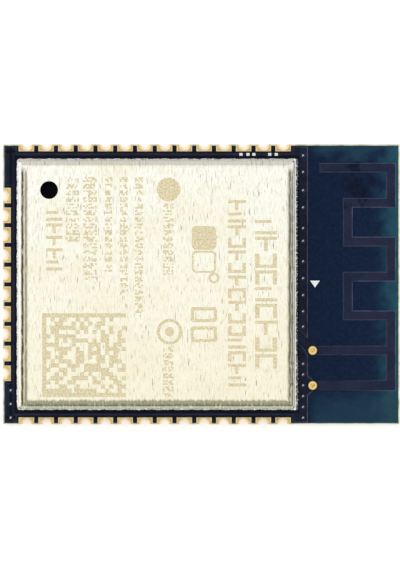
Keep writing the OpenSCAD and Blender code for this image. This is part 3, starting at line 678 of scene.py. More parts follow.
cells, square_lo, square_hi = 20, np.array([-10.09, -7.14]), np.array([-4.78, -1.82])
cell = (square_hi[0] - square_lo[0]) / cells
rng = np.random.default_rng(71)
filled = rng.random((cells, cells)) < 0.52
filled[:, 0] = filled[:, -1] = filled[0, :] = True
filled[1:-1, -2] |= rng.random(cells - 2) < 0.3
corners = square_lo + np.argwhere(filled) * cell
boxes += np.c_[corners, corners + cell * 1.001].tolist()
thin = can_hi[2] - 0.01, can_hi[2] + 0.0025
shapes = [slabs(boxes, *thin)]
shapes += [
    prism(circle(-2.08, 6.02, 0.75, 40), *thin),
    band(circle(-2.01, -3, 0.81, 40), circle(-2.01, -3, 0.62, 40), *thin),
    prism(circle(-2.01, -3, 0.3, 24), *thin),
    prism(rounded(-0.61, 2.19, 0.94, 3.7, 0.3), *thin),
    band(rounded(-0.61, 0.73, 0.94, 2.14, 0.3), rounded(-0.49, 0.85, 0.81, 2.01, 0.22), *thin),
    band(circle(0.8, 0.41, 0.35, 28), circle(0.8, 0.41, 0.2, 28), *thin),
    band(rounded(-0.67, -2.39, 1, -1.44, 0.2), rounded(-0.47, -2.19, 0.79, -1.65, 0.1), *thin),
    band(rounded(-0.67, -3.66, 1, -2.66, 0.2), rounded(-0.47, -3.46, 0.79, -2.87, 0.1), *thin),
]
marks = piece("lid_marks", *joined(shapes), "can", merge=0)

# %% [markdown]
# ## Print on the board
# A little white print is left on the mask: a plain arrowhead beside the ground copper's edge
# and a few ticks along the can. Ink printed through a screen has a thickness of its own, which
# a colour in the mask's finish would not show, so they are thin slabs that rest on the mask.

# %% White print
ink_in, ink_out = -0.006, 0.012
arrow = np.array([[7.31, -0.2], [7.62, 0.24], [7.0, 0.24]])
ticks = [(x, 8.275, x + 0.2, 8.45) for x in (2.45, 2.9, 3.28, 4.3, 4.72)]
inked = [
    prism(arrow, mask_low + ink_in, mask_low + ink_out),
    slabs(ticks, mask_top + ink_in, mask_top + ink_out),
]
print_marks = piece("print_marks", *joined(inked), "solder_mask", merge=0)

# %% [markdown]
# ## Finishes
# Each finish is a Principled shader whose colour comes from procedural patterns on the
# object's own coordinates, read in millimetres. Linking every node by hand would bury the
# colours in wiring, so a small helper class keeps it short. Colours are written as they
# should show, from 0 to 255, and are turned linear on the way in.


# %% Wiring helper
def linear(colour):
    """Linear colour of a display colour (r, g, b) from 0 to 255: c / 12.92 up to 0.04045, and
    ((c + 0.055) / 1.055) ** 2.4 above it. Anything else passes as it is."""
    if not isinstance(colour, tuple) or len(colour) != 3:
        return colour
    c = np.array(colour) / 255
    return (*np.where(c <= 0.04045, c / 12.92, ((c + 0.055) / 1.055) ** 2.4).tolist(), 1.0)


class Wiring:
    """Adds nodes to a tree and links what it is given: a socket is linked, a value is set."""

    def __init__(self, tree):
        self.tree = tree

    def put(self, socket, value):
        """Links a socket or sets a value."""
        if isinstance(value, bpy.types.NodeSocket):
            self.tree.links.new(value, socket)
        else:
            socket.default_value = linear(value)

    def add(self, kind, settings=None, **inputs):
        """New node with its settings and its named inputs."""
        node = self.tree.nodes.new(kind)
        for key, value in (settings or {}).items():
            setattr(node, key, value)
        for key, value in inputs.items():
            self.put(node.inputs[key.replace("_", " ")], value)
        return node

    def fill(self, node, values):
        """Sets a node's inputs by number, and gives the node back."""
        for number, value in values.items():
            self.put(node.inputs[number], value)
        return node

    def maths(self, operation, a, b=0.0):
        """One sum with one or two values."""
        node = self.add("ShaderNodeMath", {"operation": operation})
        return self.fill(node, {0: a, 1: b}).outputs[0]

    times, plus = partialmethod(maths, "MULTIPLY"), partialmethod(maths, "ADD")
    minus, root = partialmethod(maths, "SUBTRACT"), partialmethod(maths, "SQRT")
    least, most = partialmethod(maths, "MINIMUM"), partialmethod(maths, "MAXIMUM")
    below, above = partialmethod(maths, "LESS_THAN"), partialmethod(maths, "GREATER_THAN")
    size = partialmethod(maths, "ABSOLUTE")


print("linear mid grey", [round(part, 3) for part in linear((128, 128, 128))])

# %% [markdown]
# With sums alone, every pattern would still take many lines. A second class knows the
# patterns that the finishes are built from: mixes, steps, ramps and noises.


# %% Patterns helper
class Patterns(Wiring):
    """Wiring that also knows colours, steps and noises."""

    def mix(self, share, a, b, blend="MIX"):
        """Colour a with a share of colour b."""
        node = self.add("ShaderNodeMix", {"data_type": "RGBA", "blend_type": blend})
        return self.fill(node, {0: share, 6: a, 7: b}).outputs[2]

    def step(self, value, low, high, a=0.0, b=1.0, smooth=True):
        """Runs from a to b as value goes from low to high."""
        shape = "SMOOTHSTEP" if smooth else "LINEAR"
        node = self.add("ShaderNodeMapRange", {"interpolation_type": shape})
        return self.fill(node, dict(enumerate((value, low, high, a, b)))).outputs[0]

    def ramp(self, value, *stops):
        """Colour ramp through (place, colour) stops."""
        node = self.add("ShaderNodeValToRGB", Fac=value)
        elements = node.color_ramp.elements
        while len(elements) < len(stops):
            elements.new(0.5)
        for element, (place, colour) in zip(elements, stops):
            element.position, element.color = place, linear(colour)
        return node.outputs[0]

    def parts(self, vector):
        """The three parts of a vector."""
        return self.add("ShaderNodeSeparateXYZ", Vector=vector).outputs

    def millimetres(self):
        """Object coordinates in millimetres: the vector and its three parts."""
        scaled = self.add("ShaderNodeVectorMath", {"operation": "SCALE"}, Scale=1 / MM)
        self.put(scaled.inputs[0], self.add("ShaderNodeTexCoord").outputs["Object"])
        return scaled.outputs[0], *self.parts(scaled.outputs[0])

    def noise(self, vector, scale, detail=2.0, roughness=0.5):
        """Noise from 0 to 1, with the given number of features per millimetre."""
        return self.add("ShaderNodeTexNoise", Vector=vector, Scale=scale, Detail=detail,
                        Roughness=roughness).outputs[0]

    def stretched(self, places, rates, detail=2.0, roughness=0.5):
        """Noise at (x a, y b, z c): each coordinate runs at its own rate."""
        parts = {k: self.times(place, rate) for k, (place, rate) in enumerate(zip(places, rates))}
        vector = self.fill(self.add("ShaderNodeCombineXYZ"), parts).outputs[0]
        return self.noise(vector, 1.0, detail, roughness)

    def sway(self, pattern, amount):
        """Shift about zero from a pattern p that runs from 0 to 1: amount (p - 1/2)."""
        return self.times(self.minus(pattern, 0.5), amount)

    def away(self, x, y, *spots):
        """Distance in the board's plane from the nearest of the spots: sqrt(dx dx + dy dy)."""
        rays = []
        for spot in spots:
            dx, dy = self.minus(x, spot[0]), self.minus(y, spot[1])
            rays.append(self.root(self.plus(self.times(dx, dx), self.times(dy, dy))))
        return rays[0] if len(rays) == 1 else self.least(*rays)

    def group(self, tree, **inputs):
        """A shared group with its named inputs."""
        return self.add("ShaderNodeGroup", {"node_tree": tree}, **inputs).outputs


print("patterns", [name for name in vars(Patterns) if not name.startswith("_")])

# %% [markdown]
# Three effects serve more than one finish, so each is a node group: mottling shifts a colour
# about its middle, drawn grain is a noise stretched along one direction, and relief turns a
# height into a normal. Copies in each material would drift apart as they were tuned.


# %% Shared groups
def new_group(name, inputs, outputs):
    """Empty shader group with its sockets: the tree, its wiring, its input and output nodes."""
    tree = bpy.data.node_groups.new(name, "ShaderNodeTree")
    for label, value in inputs.items():
        kind = COLOUR if value is None else FLOAT
        socket = tree.interface.new_socket(name=label, in_out="INPUT", socket_type=kind)
        if value is not None:
            socket.default_value = value
    for label, kind in outputs.items():
        tree.interface.new_socket(name=label, in_out="OUTPUT", socket_type=kind)
    w = Patterns(tree)
    return tree, w, w.add("NodeGroupInput").outputs, w.add("NodeGroupOutput").inputs


FLOAT, COLOUR, VECTOR = "NodeSocketFloat", "NodeSocketColor", "NodeSocketVector"

mottling, w, given, result = new_group(
    "mottling", {"Colour": None, "Dark": 0.85, "Light": 1.1, "Per mm": 2.0},
    {"Colour": COLOUR, "Pattern": FLOAT})
pattern = w.noise(w.millimetres()[0], given["Per mm"], 4.0, 0.6)
level = w.step(pattern, 0.3, 0.7, given["Dark"], given["Light"], smooth=False)
scaled = w.add("ShaderNodeVectorMath", {"operation": "SCALE"}, Scale=level)
w.put(scaled.inputs[0], given["Colour"])
w.put(result["Colour"], scaled.outputs[0])
w.put(result["Pattern"], pattern)

grain, w, given, result = new_group(
    "drawn grain", {"Across": 0.0, "Along": 0.0, "Fine": 14.0, "Long": 0.7},
    {"Streaks": FLOAT, "Scratches": FLOAT})
across, along = w.times(given["Across"], given["Fine"]), w.times(given["Along"], given["Long"])
w.put(result["Streaks"], w.stretched((across, along), (1.0, 1.0), 3.0, 0.6))
scratches = w.stretched((across, along, 3.7), (0.8, 0.9, 1.0), 1.0)
w.put(result["Scratches"], w.step(scratches, 0.66, 0.76))

relief, w, given, result = new_group(
    "relief", {"Height": 0.0, "Depth": 0.002, "Strength": 0.5}, {"Normal": VECTOR})
bump = w.add("ShaderNodeBump", Height=given["Height"], Strength=given["Strength"],
             Distance=w.times(given["Depth"], MM))
w.put(result["Normal"], bump.outputs[0])
print("groups", [tree.name for tree in (mottling, grain, relief)])

# %% [markdown]
# Every finish starts with the same shader node and ends with the same three links, so these
# two steps are written once.


# %% Start and end of a finish
def finish_of(name, roughness, metallic=0.0, specular=0.5):
    """New material with its Principled shader: the material, its wiring and the shader node."""
    material = bpy.data.materials.new(name)
    material.use_nodes = True
    material.node_tree.nodes.clear()
    w = Patterns(material.node_tree)
    shader = w.add("ShaderNodeBsdfPrincipled", Roughness=roughness, Metallic=metallic,
                   Specular_IOR_Level=specular)
    w.add("ShaderNodeOutputMaterial", Surface=shader.outputs[0])
    return material, w, shader


def wear(w, shader, colour, height, depth, strength=0.5, rough=None):
    """Links a colour, the relief of a height pattern, and a roughness that runs with it."""
    w.put(shader.inputs["Base Color"], colour)
    w.put(shader.inputs["Normal"], w.group(relief, Height=height, Depth=depth, Strength=strength)[0])
    if rough:
        w.put(shader.inputs["Roughness"], w.step(height, 0.3, 0.7, *rough, smooth=False))


# %% [markdown]
# ### Brushed steel of the can
# The sheet is brushed along y and plated, so the grain runs across the module. Unrolling the
# sheet carries the grain down the walls. Along each fold there are dark and pale lines at fixed
# distances in from the wall, different on the four sides, and at the two folds that cross the
# grain they end in ragged teeth. These lines are painted reflections of the studio in the curved
# folds. Real reflections would give some of these lines and move them with the lamp; the
# painted ones stay where they are, because a colour ramp over the distance from each wall
# paints them.

# %% Brushed steel: where each point lies
brushed, w, shader = finish_of("brushed_steel", 0.34, metallic=0.6)
vector, x, y, z = w.millimetres()
left_d, right_d = w.minus(x, can_lo[0]), w.minus(can_hi[0], x)
top_d, bottom_d = w.minus(can_hi[1], y), w.minus(y, can_lo[1])
x_d, y_d = w.least(left_d, right_d), w.least(top_d, bottom_d)
by_x = w.below(x_d, y_d)
across = w.plus(x, w.times(z, by_x))
along = w.plus(y, w.times(z, w.minus(1.0, by_x)))
streaks, scratches = w.group(grain, Across=across, Along=along, Fine=18.0, Long=1.6)[:2]
patches, speckles = w.noise(vector, 0.35, 2.0, 0.5), w.noise(vector, 8.0, 2.0, 0.6)
teeth = w.times(w.sway(w.stretched((x, y), (8.0, 1.0)), 0.3), w.step(y_d, 0.15, 0.4))
waver = w.plus(w.sway(w.stretched((y, x), (1.3, 1.0), 3.0), 0.09),
               w.sway(w.stretched((y, x), (1.6, 12.0)), 0.13))
lid_colour = (252, 249, 232)


def tone(colour):
    """Colour of a painted reflection band against the lid, as a multiplier."""
    shares = zip(linear(colour)[:3], linear(lid_colour)[:3])
    return tuple(min(1.0, part / whole) for part, whole in shares) + (1.0,)


print("tone of a dark line", [round(c, 3) for c in tone((96, 88, 72))])

# %% Brushed steel: painted reflections along the folds
folds = {
    "left": (left_d, waver, [
        (0.0, (240, 240, 234)), (0.08, (250, 249, 239)), (0.17, (254, 251, 241)),
        (0.21, (220, 214, 200)), (0.25, (96, 88, 72)), (0.3, (52, 46, 36)), (0.335, (84, 78, 64)),
        (0.38, (180, 175, 156)), (0.43, (222, 218, 198)), (0.47, (176, 172, 150)),
        (0.51, (148, 143, 122)), (0.565, (156, 152, 132)), (0.62, (218, 214, 194)), (0.68, lid_colour)]),
    "right": (right_d, w.times(waver, w.step(right_d, 0.12, 0.2)), [
        (0.0, (255, 255, 250)), (0.12, (255, 255, 248)), (0.135, (196, 193, 180)),
        (0.155, (96, 94, 82)), (0.185, (98, 96, 84)), (0.21, (150, 147, 132)), (0.24, (206, 203, 186)),
        (0.265, (170, 167, 150)), (0.315, (96, 93, 78)), (0.365, (116, 113, 96)),
        (0.425, (190, 187, 168)), (0.5, (240, 237, 217)), (0.58, lid_colour)]),
    "top": (top_d, teeth, [
        (0.0, (206, 202, 191)), (0.05, (192, 187, 174)), (0.09, (184, 179, 165)),
        (0.14, (202, 196, 184)), (0.2, (211, 205, 190)), (0.27, (203, 199, 181)),
        (0.33, (220, 216, 198)), (0.4, (238, 235, 215)), (0.48, (242, 240, 222)), (0.55, lid_colour)]),
    "bottom": (bottom_d, teeth, [
        (0.0, (190, 197, 179)), (0.06, (181, 187, 163)), (0.13, (186, 191, 166)),
        (0.17, (150, 154, 130)), (0.21, (108, 112, 90)), (0.25, (114, 117, 96)),
        (0.31, (150, 150, 131)), (0.38, (168, 166, 145)), (0.45, (156, 153, 133)),
        (0.5, (168, 164, 143)), (0.56, (218, 214, 192)), (0.63, lid_colour)]),
}
fold_reflection_tones = {}
for side, (distance, ragged, stops) in folds.items():
    fold_reflection_tones[side] = w.ramp(w.plus(distance, ragged), *[(place, tone(colour)) for place, colour in stops])
side_x = w.mix(w.below(left_d, right_d), fold_reflection_tones["right"], fold_reflection_tones["left"])
side_y = w.mix(w.below(bottom_d, top_d), fold_reflection_tones["top"], fold_reflection_tones["bottom"])
no_reflection = (1, 1, 1, 1)
reflection_breakup = w.stretched((x, y), (7.0, 1.6), 3.0, 0.6)
# The fold lines are painted reflections, broken up in places by a stretched noise.
fold_reflection = w.mix(w.step(reflection_breakup, 0.52, 0.7, 0.0, 0.45), w.mix(by_x, side_y, side_x), no_reflection)
fold_reflection = w.mix(w.step(top_d, 0.9, 0.45, 0.0, 0.8), fold_reflection, w.mix(by_x, side_y, no_reflection))
print("stops along the folds", {side: len(stops) for side, (_, _, stops) in folds.items()})

# %% Brushed steel: the sheet itself
# The lid is painted paler and whiter towards its top edge: painted light from the lamp at the upper left.
down = w.step(y, can_lo[1], can_hi[1], smooth=False)
body = w.mix(down, (252, 247, 222), (255, 255, 246))
body = w.mix(w.step(patches, 0.45, 0.65, 0.0, 0.4), body, (248, 242, 212))
body = w.mix(w.step(streaks, 0.32, 0.5), w.mix(0.75, body, (222, 212, 176)), body)
body = w.mix(w.step(speckles, 0.42, 0.28, 0.0, 0.5), body, (224, 214, 182))
body = w.mix(w.times(scratches, 0.85), body, (158, 150, 124))
# The lid colour times the painted reflections along the folds.
colour = w.mix(1.0, body, fold_reflection, "MULTIPLY")
# A dark ring painted on the lid round the vent: painted shade at the hole's edge.
vent_rim_shade = w.below(w.away(x, y, vent_at), vent_d / 2 + 0.015)
wear(w, shader, w.mix(vent_rim_shade, colour, (8, 8, 14)), streaks, 0.004, 0.35, rough=(0.28, 0.42))
crept = w.times(w.step(right_d, 0.15, 0.11), w.step(z, can_hi[2] - 0.3, can_hi[2] - 0.2))
w.put(shader.inputs["Metallic"], w.step(crept, 0.0, 1.0, 0.6, 0.05))

etched, w, shader = finish_of("etched_steel", 0.62, metallic=0.35)
speckle = w.noise(w.millimetres()[0], 9.0, 3.0, 0.7)
tan = w.ramp(speckle, (0.3, (190, 175, 136)), (0.44, (216, 203, 164)), (0.56, (229, 218, 182)),
             (0.7, (248, 242, 216)))
wear(w, shader, tan, speckle, 0.006)
print("steel", len(brushed.node_tree.nodes), "and", len(etched.node_tree.nodes), "nodes")

# %% [markdown]
# ### Solder mask
# The film is the same navy all over, but what lies beneath it shows through: over copper it
# is a warmer violet, over bare laminate it is bluer, and near the cut edges light comes up
# through the laminate and turns it teal. A clear film over coloured layers would need many
# bounces of light inside a few hundredths of a millimetre. The height of the film tells what
# lies beneath it, so one opaque finish picks its colour by height and place.

# %% Mask film
pour_edge = span("top_ground")[1][0]
over_copper, under_copper = mask_low + 0.017, 0.022
smear_at, speck_at = (10.05, 6.4), (8.46, 3.76)


def mask_colour(w):
    """Colour of the film from its height and its place on the board, and its fine pattern."""
    vector, x, y, z = w.millimetres()
    cloud, fine = w.noise(vector, 0.8, 4.0, 0.6), w.noise(vector, 6.0, 4.0, 0.7)
    drift = w.sway(cloud, 3.0)
    near_right = w.step(w.plus(w.minus(board_hi[0], x), drift), 1.9, -0.2)
    near_top = w.step(w.plus(w.minus(board_hi[1], y), drift), 1.3, 0.2)
    near_low = w.step(w.plus(w.minus(y, board_lo[1]), drift), 3.0, 0.4, 0.0, 0.88)
    by_rows = w.times(w.most(near_top, near_low), w.step(x, pour_edge - 0.5, pour_edge + 0.5))
    bare = w.mix(w.step(x, 8.3, 12.0), (0, 22, 50), (4, 27, 54))
    bare = w.mix(w.step(x, pour_edge - 0.5, pour_edge), (17, 22, 42), bare)
    bare = w.mix(w.times(by_rows, 0.9), bare, (25, 57, 76))
    bare = w.mix(w.times(near_right, 0.8), bare, (34, 82, 96))
    bare = w.mix(w.times(near_right, near_low), bare, (33, 62, 74))
    pour = w.mix(w.step(cloud, 0.38, 0.64), (12, 20, 38), (24, 29, 54))
    track = w.mix(w.step(cloud, 0.35, 0.65), (24, 31, 54), (34, 38, 62))
    buried = w.mix(w.step(x, pour_edge - 0.05, pour_edge + 0.05), pour, track)
    colour = w.mix(w.most(w.above(z, over_copper), w.below(z, under_copper)), bare, buried)
    smear = w.minus(w.noise(vector, 1.5, 4.0, 0.65), w.times(w.away(x, y, smear_at), 0.15))
    smear = w.times(w.step(smear, 0.3, 0.42), w.step(z, 0.3, 0.5, 0.0, 0.9))
    colour = w.mix(smear, colour, (0, 8, 33))
    colour = w.mix(w.step(w.away(x, y, speck_at), 0.15, 0.07), colour, (2, 4, 22))
    colour = w.mix(w.step(fine, 0.35, 0.7, 0.0, 0.2), colour, (44, 56, 84))
    side_line = w.minus(w.size(y), board_hi[1] - side_l)
    end_line = w.minus(board_lo[0] + end_l, x)
    by_pads = w.most(w.least(w.size(side_line), w.size(end_line)), w.minus(x, front_hi[0]))
    ring = w.step(w.away(x, y, feed_at, ground_at), 0.42, 0.34)
    return w.mix(w.most(ring, w.step(by_pads, 0.12, 0.05)), colour, (9, 8, 16)), fine


mask_film, w, shader = finish_of("mask_film", 0.34, specular=0.08)
colour, fine = mask_colour(w)
wear(w, shader, colour, fine, 0.003, 0.3)
print("copper ends at x", round(pour_edge, 3), "and shows above z", round(over_copper, 3))

# %% [markdown]
# The shoulders face sideways. A mirror-like shader would catch the lamp on either side, so
# their glint is a painted highlight instead: a pale colour mixed in by the direction of the
# normal, which grows towards the antenna's far end.

# %% Mask edges and plugs
mask_edge, w, shader = finish_of("mask_edge", 0.3, specular=0.12)
vector, x, y, z = w.millimetres()
colour, fine = mask_colour(w)
facing = w.parts(w.add("ShaderNodeNewGeometry").outputs["Normal"])[0]
broken = w.step(w.noise(vector, 1.3, 3.0, 0.6), 0.3, 0.62, 0.25, 1.0)
# Painted highlight: strongest where the shoulder faces +x, and fainter beside the can.
glint = w.times(w.step(facing, -0.05, 0.45, 0.14, 0.5), broken)
glint = w.times(glint, w.step(x, can_hi[0], pour_edge, 0.35, 1.0))
wear(w, shader, w.mix(glint, colour, (112, 118, 142)), fine, 0.002, 0.3)

mask_plug, w, shader = finish_of("mask_plug", 0.2)
lit = w.add("ShaderNodeAttribute", {"attribute_name": "lit"}).outputs["Fac"]
# Painted light: pale where lit is high, as a painted highlight, and darker than the mask elsewhere, as
# painted shade.
w.put(shader.inputs["Base Color"], w.ramp(
    lit, (0.0, (8, 9, 20)), (0.4, (16, 20, 34)), (0.55, (60, 66, 86)), (0.75, (190, 196, 214)),
    (1.0, (226, 228, 238))))
print("mask edge", len(mask_edge.node_tree.nodes), "nodes")

# %% [markdown]
# ### Laminate and gold
# The laminate is glass cloth in resin: on the cut edge it is a pale straw green with thin
# layers, and where a gap in the mask bares its face it looks dark. Gold plating is never one
# colour: it drifts between straw and orange. The pale rims of the pads and the pale inside of
# each half hole are painted highlights on their rounded top edges. One flat gold would turn the
# rows into stripes. So each point's place on its own pad, kept when the rows were made, sets
# the colour there.

# %% Laminate
laminate, w, shader = finish_of("laminate", 0.55, specular=0.3)
vector, x, y, z = w.millimetres()
inward = w.least(w.minus(board_hi[0], w.size(x)), w.minus(board_hi[1], w.size(y)))
layers = w.stretched((x, y, z), (1.5, 1.5, 26.0), 3.0)
straw = w.ramp(layers, (0.3, (150, 150, 112)), (0.5, (196, 200, 170)), (0.68, (226, 226, 204)))
wear(w, shader, w.mix(w.step(inward, 0.1, 0.07), (20, 20, 28), straw), layers, 0.006)
print("laminate", len(laminate.node_tree.nodes), "nodes")

# %% Gold of the pads and the eyelets
gold, w, shader = finish_of("gold_plating", 0.34, metallic=0.6)
vector, x, y, z = w.millimetres()
aside, inner, depth = w.parts(w.add("ShaderNodeAttribute", {"attribute_name": "pad"}).outputs["Vector"])
r = w.away(aside, depth, (0.0, 0.0))
border = w.least(w.minus(pad_w / 2, w.size(aside)), inner)
drift = w.noise(vector, 2.6, 4.0, 0.65)
colour = w.ramp(drift, (0.3, (188, 150, 92)), (0.5, (216, 186, 118)), (0.68, (238, 216, 154)))
round_hole = w.times(w.step(r, 0.35, 0.4), w.step(r, 0.52, 0.42))
colour = w.mix(w.times(round_hole, 0.6), colour, (228, 176, 110))
upper = w.step(z, board_top - 0.06, board_top - 0.03)
# Painted highlight along the rims of each pad's top face.
colour = w.mix(w.times(w.step(border, 0.08, 0.03, 0.0, 0.6), upper), colour, (240, 232, 196))
# Painted highlight, paler still, round the half hole on the top face.
colour = w.mix(w.times(w.step(r, 0.41, 0.33, 0.0, 0.85), upper), colour, (252, 242, 208))
wear(w, shader, colour, drift, 0.006, rough=(0.26, 0.44))

gold_ring, w, shader = finish_of("gold_ring", 0.3, metallic=0.6)
vector, x, y, z = w.millimetres()
r = w.away(x, y, feed_at, ground_at)
drift = w.noise(vector, 9.0, 3.0, 0.6)
middle = w.ramp(drift, (0.36, (196, 146, 62)), (0.5, (232, 190, 100)), (0.66, (240, 206, 124)))
ring = w.ramp(r, (0.12, (232, 196, 110)), (0.18, (236, 218, 154)), (0.23, (230, 210, 144)),
              (0.27, (184, 158, 96)), (0.3, (96, 82, 56)))
wear(w, shader, w.mix(w.step(r, 0.13, 0.17), middle, ring), drift, 0.006)
print("gold", len(gold.node_tree.nodes), "and", len(gold_ring.node_tree.nodes), "nodes")

# %% [markdown]
# ### Solder
# Solder with clean flux is almost a mirror, and it shows what is round it. On the side of the
# antenna it is burnt: bright next to the wall and ragged black and white further out. Few
# things stand round it here to be mirrored, so part of its contrast is painted into its colour:
# each side of the bead has its own painted brightness, and the white band next to the wall on
# the antenna side is a painted reflection.

# %% Solder
solder_tin, w, shader = finish_of("solder_tin", 0.26, metallic=0.6)
vector, x, y, z = w.millimetres()
lumps, scum = w.noise(vector, 3.6, 4.0, 0.7), w.noise(vector, 6.5, 4.0, 0.75)
right_out, left_out = w.minus(x, can_hi[0]), w.minus(can_lo[0], x)
low_out, top_out = w.minus(can_lo[1], y), w.minus(y, can_hi[1])
bright = w.ramp(lumps, (0.32, (158, 158, 176)), (0.45, (222, 222, 230)), (0.56, (250, 250, 250)))
painted_reflection = w.ramp(lumps, (0.3, (226, 226, 226)), (0.45, (252, 252, 246)), (0.6, (255, 255, 250)))
calm = w.ramp(lumps, (0.3, (150, 150, 150)), (0.5, (202, 200, 196)), (0.66, (226, 224, 220)))
green = w.ramp(lumps, (0.3, (150, 160, 146)), (0.5, (196, 204, 190)), (0.6, (246, 248, 246)))
burnt = w.ramp(scum, (0.36, (22, 22, 30)), (0.47, (84, 84, 92)), (0.56, (170, 170, 174)),
               (0.66, (236, 236, 236)))
# Each side of the bead gets its own colour, as painted reflection of what stands round it.
shade = w.mix(w.above(top_out, 0.0), bright, calm)
shade = w.mix(w.above(low_out, 0.0), shade, green)
shade = w.mix(w.above(right_out, 0.0), shade, painted_reflection)
shade = w.mix(w.step(right_out, 0.1, 0.14), shade, burnt)
outwards = w.most(w.most(left_out, right_out), w.most(low_out, top_out))
shade = w.mix(w.times(w.step(outwards, 0.16, 0.28), 0.45), shade, (120, 120, 132))
wear(w, shader, shade, lumps, 0.03, 0.6, rough=(0.2, 0.36))
print("solder", len(solder_tin.node_tree.nodes), "nodes")

# %% [markdown]
# ### Plain metals and ceramics
# The rest differ only in their numbers, so two functions make them all: a metal that drifts
# between three colours, and a fired or moulded body with one colour and some mottling.


# %% Metals and ceramics
def metal(name, dark, mid, light, roughness, metallic, per_mm, depth, specular=0.5):
    """Plated or stained metal that drifts between three colours."""
    material, w, shader = finish_of(name, roughness, metallic, specular)
    drift = w.noise(w.millimetres()[0], per_mm, 4.0, 0.65)
    colour = w.ramp(drift, (0.3, dark), (0.5, mid), (0.68, light))
    wear(w, shader, colour, drift, depth, rough=(roughness - 0.08, roughness + 0.1))
    return material


def ceramic(name, colour, roughness, dark, light, per_mm):
    """Moulded or fired body: one colour with mottling and a fine relief."""
    material, w, shader = finish_of(name, roughness, specular=0.4)
    out = w.group(mottling, Colour=colour, Dark=dark, Light=light, Per_mm=per_mm)
    wear(w, shader, out[0], out[1], 0.006, 0.4)
    return material


# name, three colours, roughness, metallic share, patches per millimetre, depth, specular
bare_gold = metal("bare_gold", (190, 154, 98), (212, 182, 118), (230, 204, 142), 0.36, 0.7, 1.6, 0.004)
lead_tin = metal("lead_tin", (176, 176, 172), (200, 200, 196), (222, 222, 218), 0.4, 0.8, 3.0, 0.005)
copper = metal("stained_copper", (6, 7, 14), (13, 12, 22), (30, 22, 28), 0.6, 0.0, 2.5, 0.004, 0.08)
# Flux on the land, painted near-black navy as the shade at the bead's outer edge.
flux_and_shade = metal("flux_and_shade_land", (4, 7, 16), (8, 12, 26), (20, 24, 38), 0.5, 0.0, 4.0, 0.006, 0.08)
cap_metal = metal("crystal_lid_metal", (190, 190, 184), (214, 214, 208), (232, 232, 226),
                  0.35, 0.8, 2.0, 0.003)
# name, colour, roughness, darkest and lightest share of it, patches per millimetre
package = ceramic("moulded_package", (43, 43, 46), 0.6, 0.75, 1.25, 9.0)
crystal_ceramic = ceramic("crystal_ceramic", (196, 178, 146), 0.5, 0.9, 1.08, 3.0)
capacitor_ceramic = ceramic("capacitor_ceramic", (166, 136, 98), 0.45, 0.9, 1.1, 3.0)
alumina = ceramic("resistor_alumina", (224, 222, 214), 0.5, 0.93, 1.04, 4.0)
inductor_ceramic = ceramic("inductor_ceramic", (140, 160, 180), 0.45, 0.9, 1.1, 3.0)
ink = ceramic("white_ink", (246, 248, 250), 0.6, 0.92, 1.03, 6.0)
print("materials", len(bpy.data.materials))

# %% [markdown]
# Each finish is now given to its pieces: those made above, and the measured solids that keep
# their own form. One table does it, so that no piece is forgotten or dressed twice.

# %% Give each piece its finish
finishes = {
    brushed: [shell], etched: [marks], mask_edge: [shoulders], mask_plug: [plugs],
    gold: [front, back, end], gold_ring: eyelets, solder_tin: [solder], ink: [print_marks],
    mask_film: ["top_mask", "bottom_mask"], laminate: ["board"], flux_and_shade: ["shield_land"],
    copper: ["top_ground", "bottom_ground", "antenna", "feed_track", "stitching_holes", "heat_holes"],
    bare_gold: ["ground_pad", "soc_lands", "flash_lands", "crystal_lands", "chip_lands"],
    lead_tin: ["soc_leads", "soc_paddle", "flash_leads", "capacitor_ends", "resistor_ends",
               "inductor_ends"],
    package: ["soc_body", "flash_body"], cap_metal: ["crystal_cap"], crystal_ceramic: ["crystal_base"],
    capacitor_ceramic: ["capacitor_bodies"], alumina: ["resistor_bodies"],
    inductor_ceramic: ["inductor_bodies"],
}
for finish, wearers in finishes.items():
    for wearer in wearers:
        mesh = (nodes[wearer] if isinstance(wearer, str) else wearer).data
        mesh.materials.clear()
        mesh.materials.append(finish)
print(len(finishes), "finishes on", sum(map(len, finishes.values())), "pieces")

# %% [markdown]
# ## Studio
# A pale floor, an even pale sky and one wide soft lamp from the upper left: enough to round
# the folds and lift the small bumps, and level enough that colours come out as written. Three
# strong lamps would model the can better and burn out its pale lid. The floor adds a little
# light of its own towards the camera, so it reads white and still keeps the module's shadow.

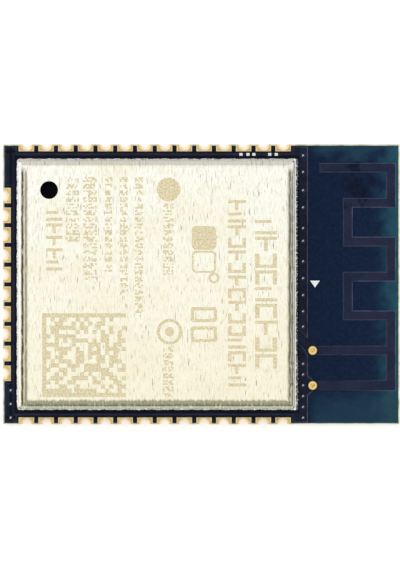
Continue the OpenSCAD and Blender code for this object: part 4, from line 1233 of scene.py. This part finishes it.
# %% Floor
white, floor_half, floor_drop, floor_grey, floor_glow = (1, 1, 1, 1), 0.6, 0.02, 0.86, 0.32
floor_mesh = bpy.data.meshes.new("floor")
corners = [(-1, -1, 0), (1, -1, 0), (1, 1, 0), (-1, 1, 0)]
floor_mesh.from_pydata([[floor_half * part for part in corner] for corner in corners], [], [(0, 1, 2, 3)])
floor = bpy.data.objects.new("floor", floor_mesh)
floor.location.z = -floor_drop * MM
bpy.context.scene.collection.objects.link(floor)
paper, w, shader = finish_of("white_paper", 0.9, specular=0.1)
shader.inputs["Base Color"].default_value = (floor_grey, floor_grey, floor_grey, 1)
shader.inputs["Emission Color"].default_value = white
rays = w.add("ShaderNodeLightPath").outputs
seen = w.most(w.most(rays["Is Camera Ray"], rays["Is Glossy Ray"]), rays["Is Transmission Ray"])
w.put(shader.inputs["Emission Strength"], w.times(seen, floor_glow))
floor_mesh.materials.append(paper)
print("floor", 2 * floor_half, "m wide, at", round(floor.location.z / MM, 3), "mm")

# %% Sky and lamp
sky_light, seen_sky, lamp_side, lamp_watts = 0.96, 1.0, 0.12, 0.07
sky = bpy.data.worlds.new("sky")
bpy.context.scene.world = sky
sky.use_nodes = True
w = Patterns(sky.node_tree)
backdrop = sky.node_tree.nodes["Background"]
backdrop.inputs["Color"].default_value = white
by_camera = w.add("ShaderNodeLightPath").outputs["Is Camera Ray"]
w.put(backdrop.inputs["Strength"], w.step(by_camera, 0.0, 1.0, sky_light, seen_sky))

lamp = bpy.data.objects.new("lamp", bpy.data.lights.new("lamp", "AREA"))
bpy.context.scene.collection.objects.link(lamp)
lamp.data.shape, lamp.data.size, lamp.data.energy = "SQUARE", lamp_side, lamp_watts
lamp.location = (-0.12, 0.14, 0.2)
lamp.rotation_mode = "QUATERNION"
lamp.rotation_quaternion = (-lamp.location.normalized()).to_track_quat("-Z", "Y")
lamp.visible_camera = False
bpy.context.scene.view_settings.view_transform = "Standard"
print("sky", sky_light, "lamp", lamp_watts, "W at", [round(v, 2) for v in lamp.location])

# %% [markdown]
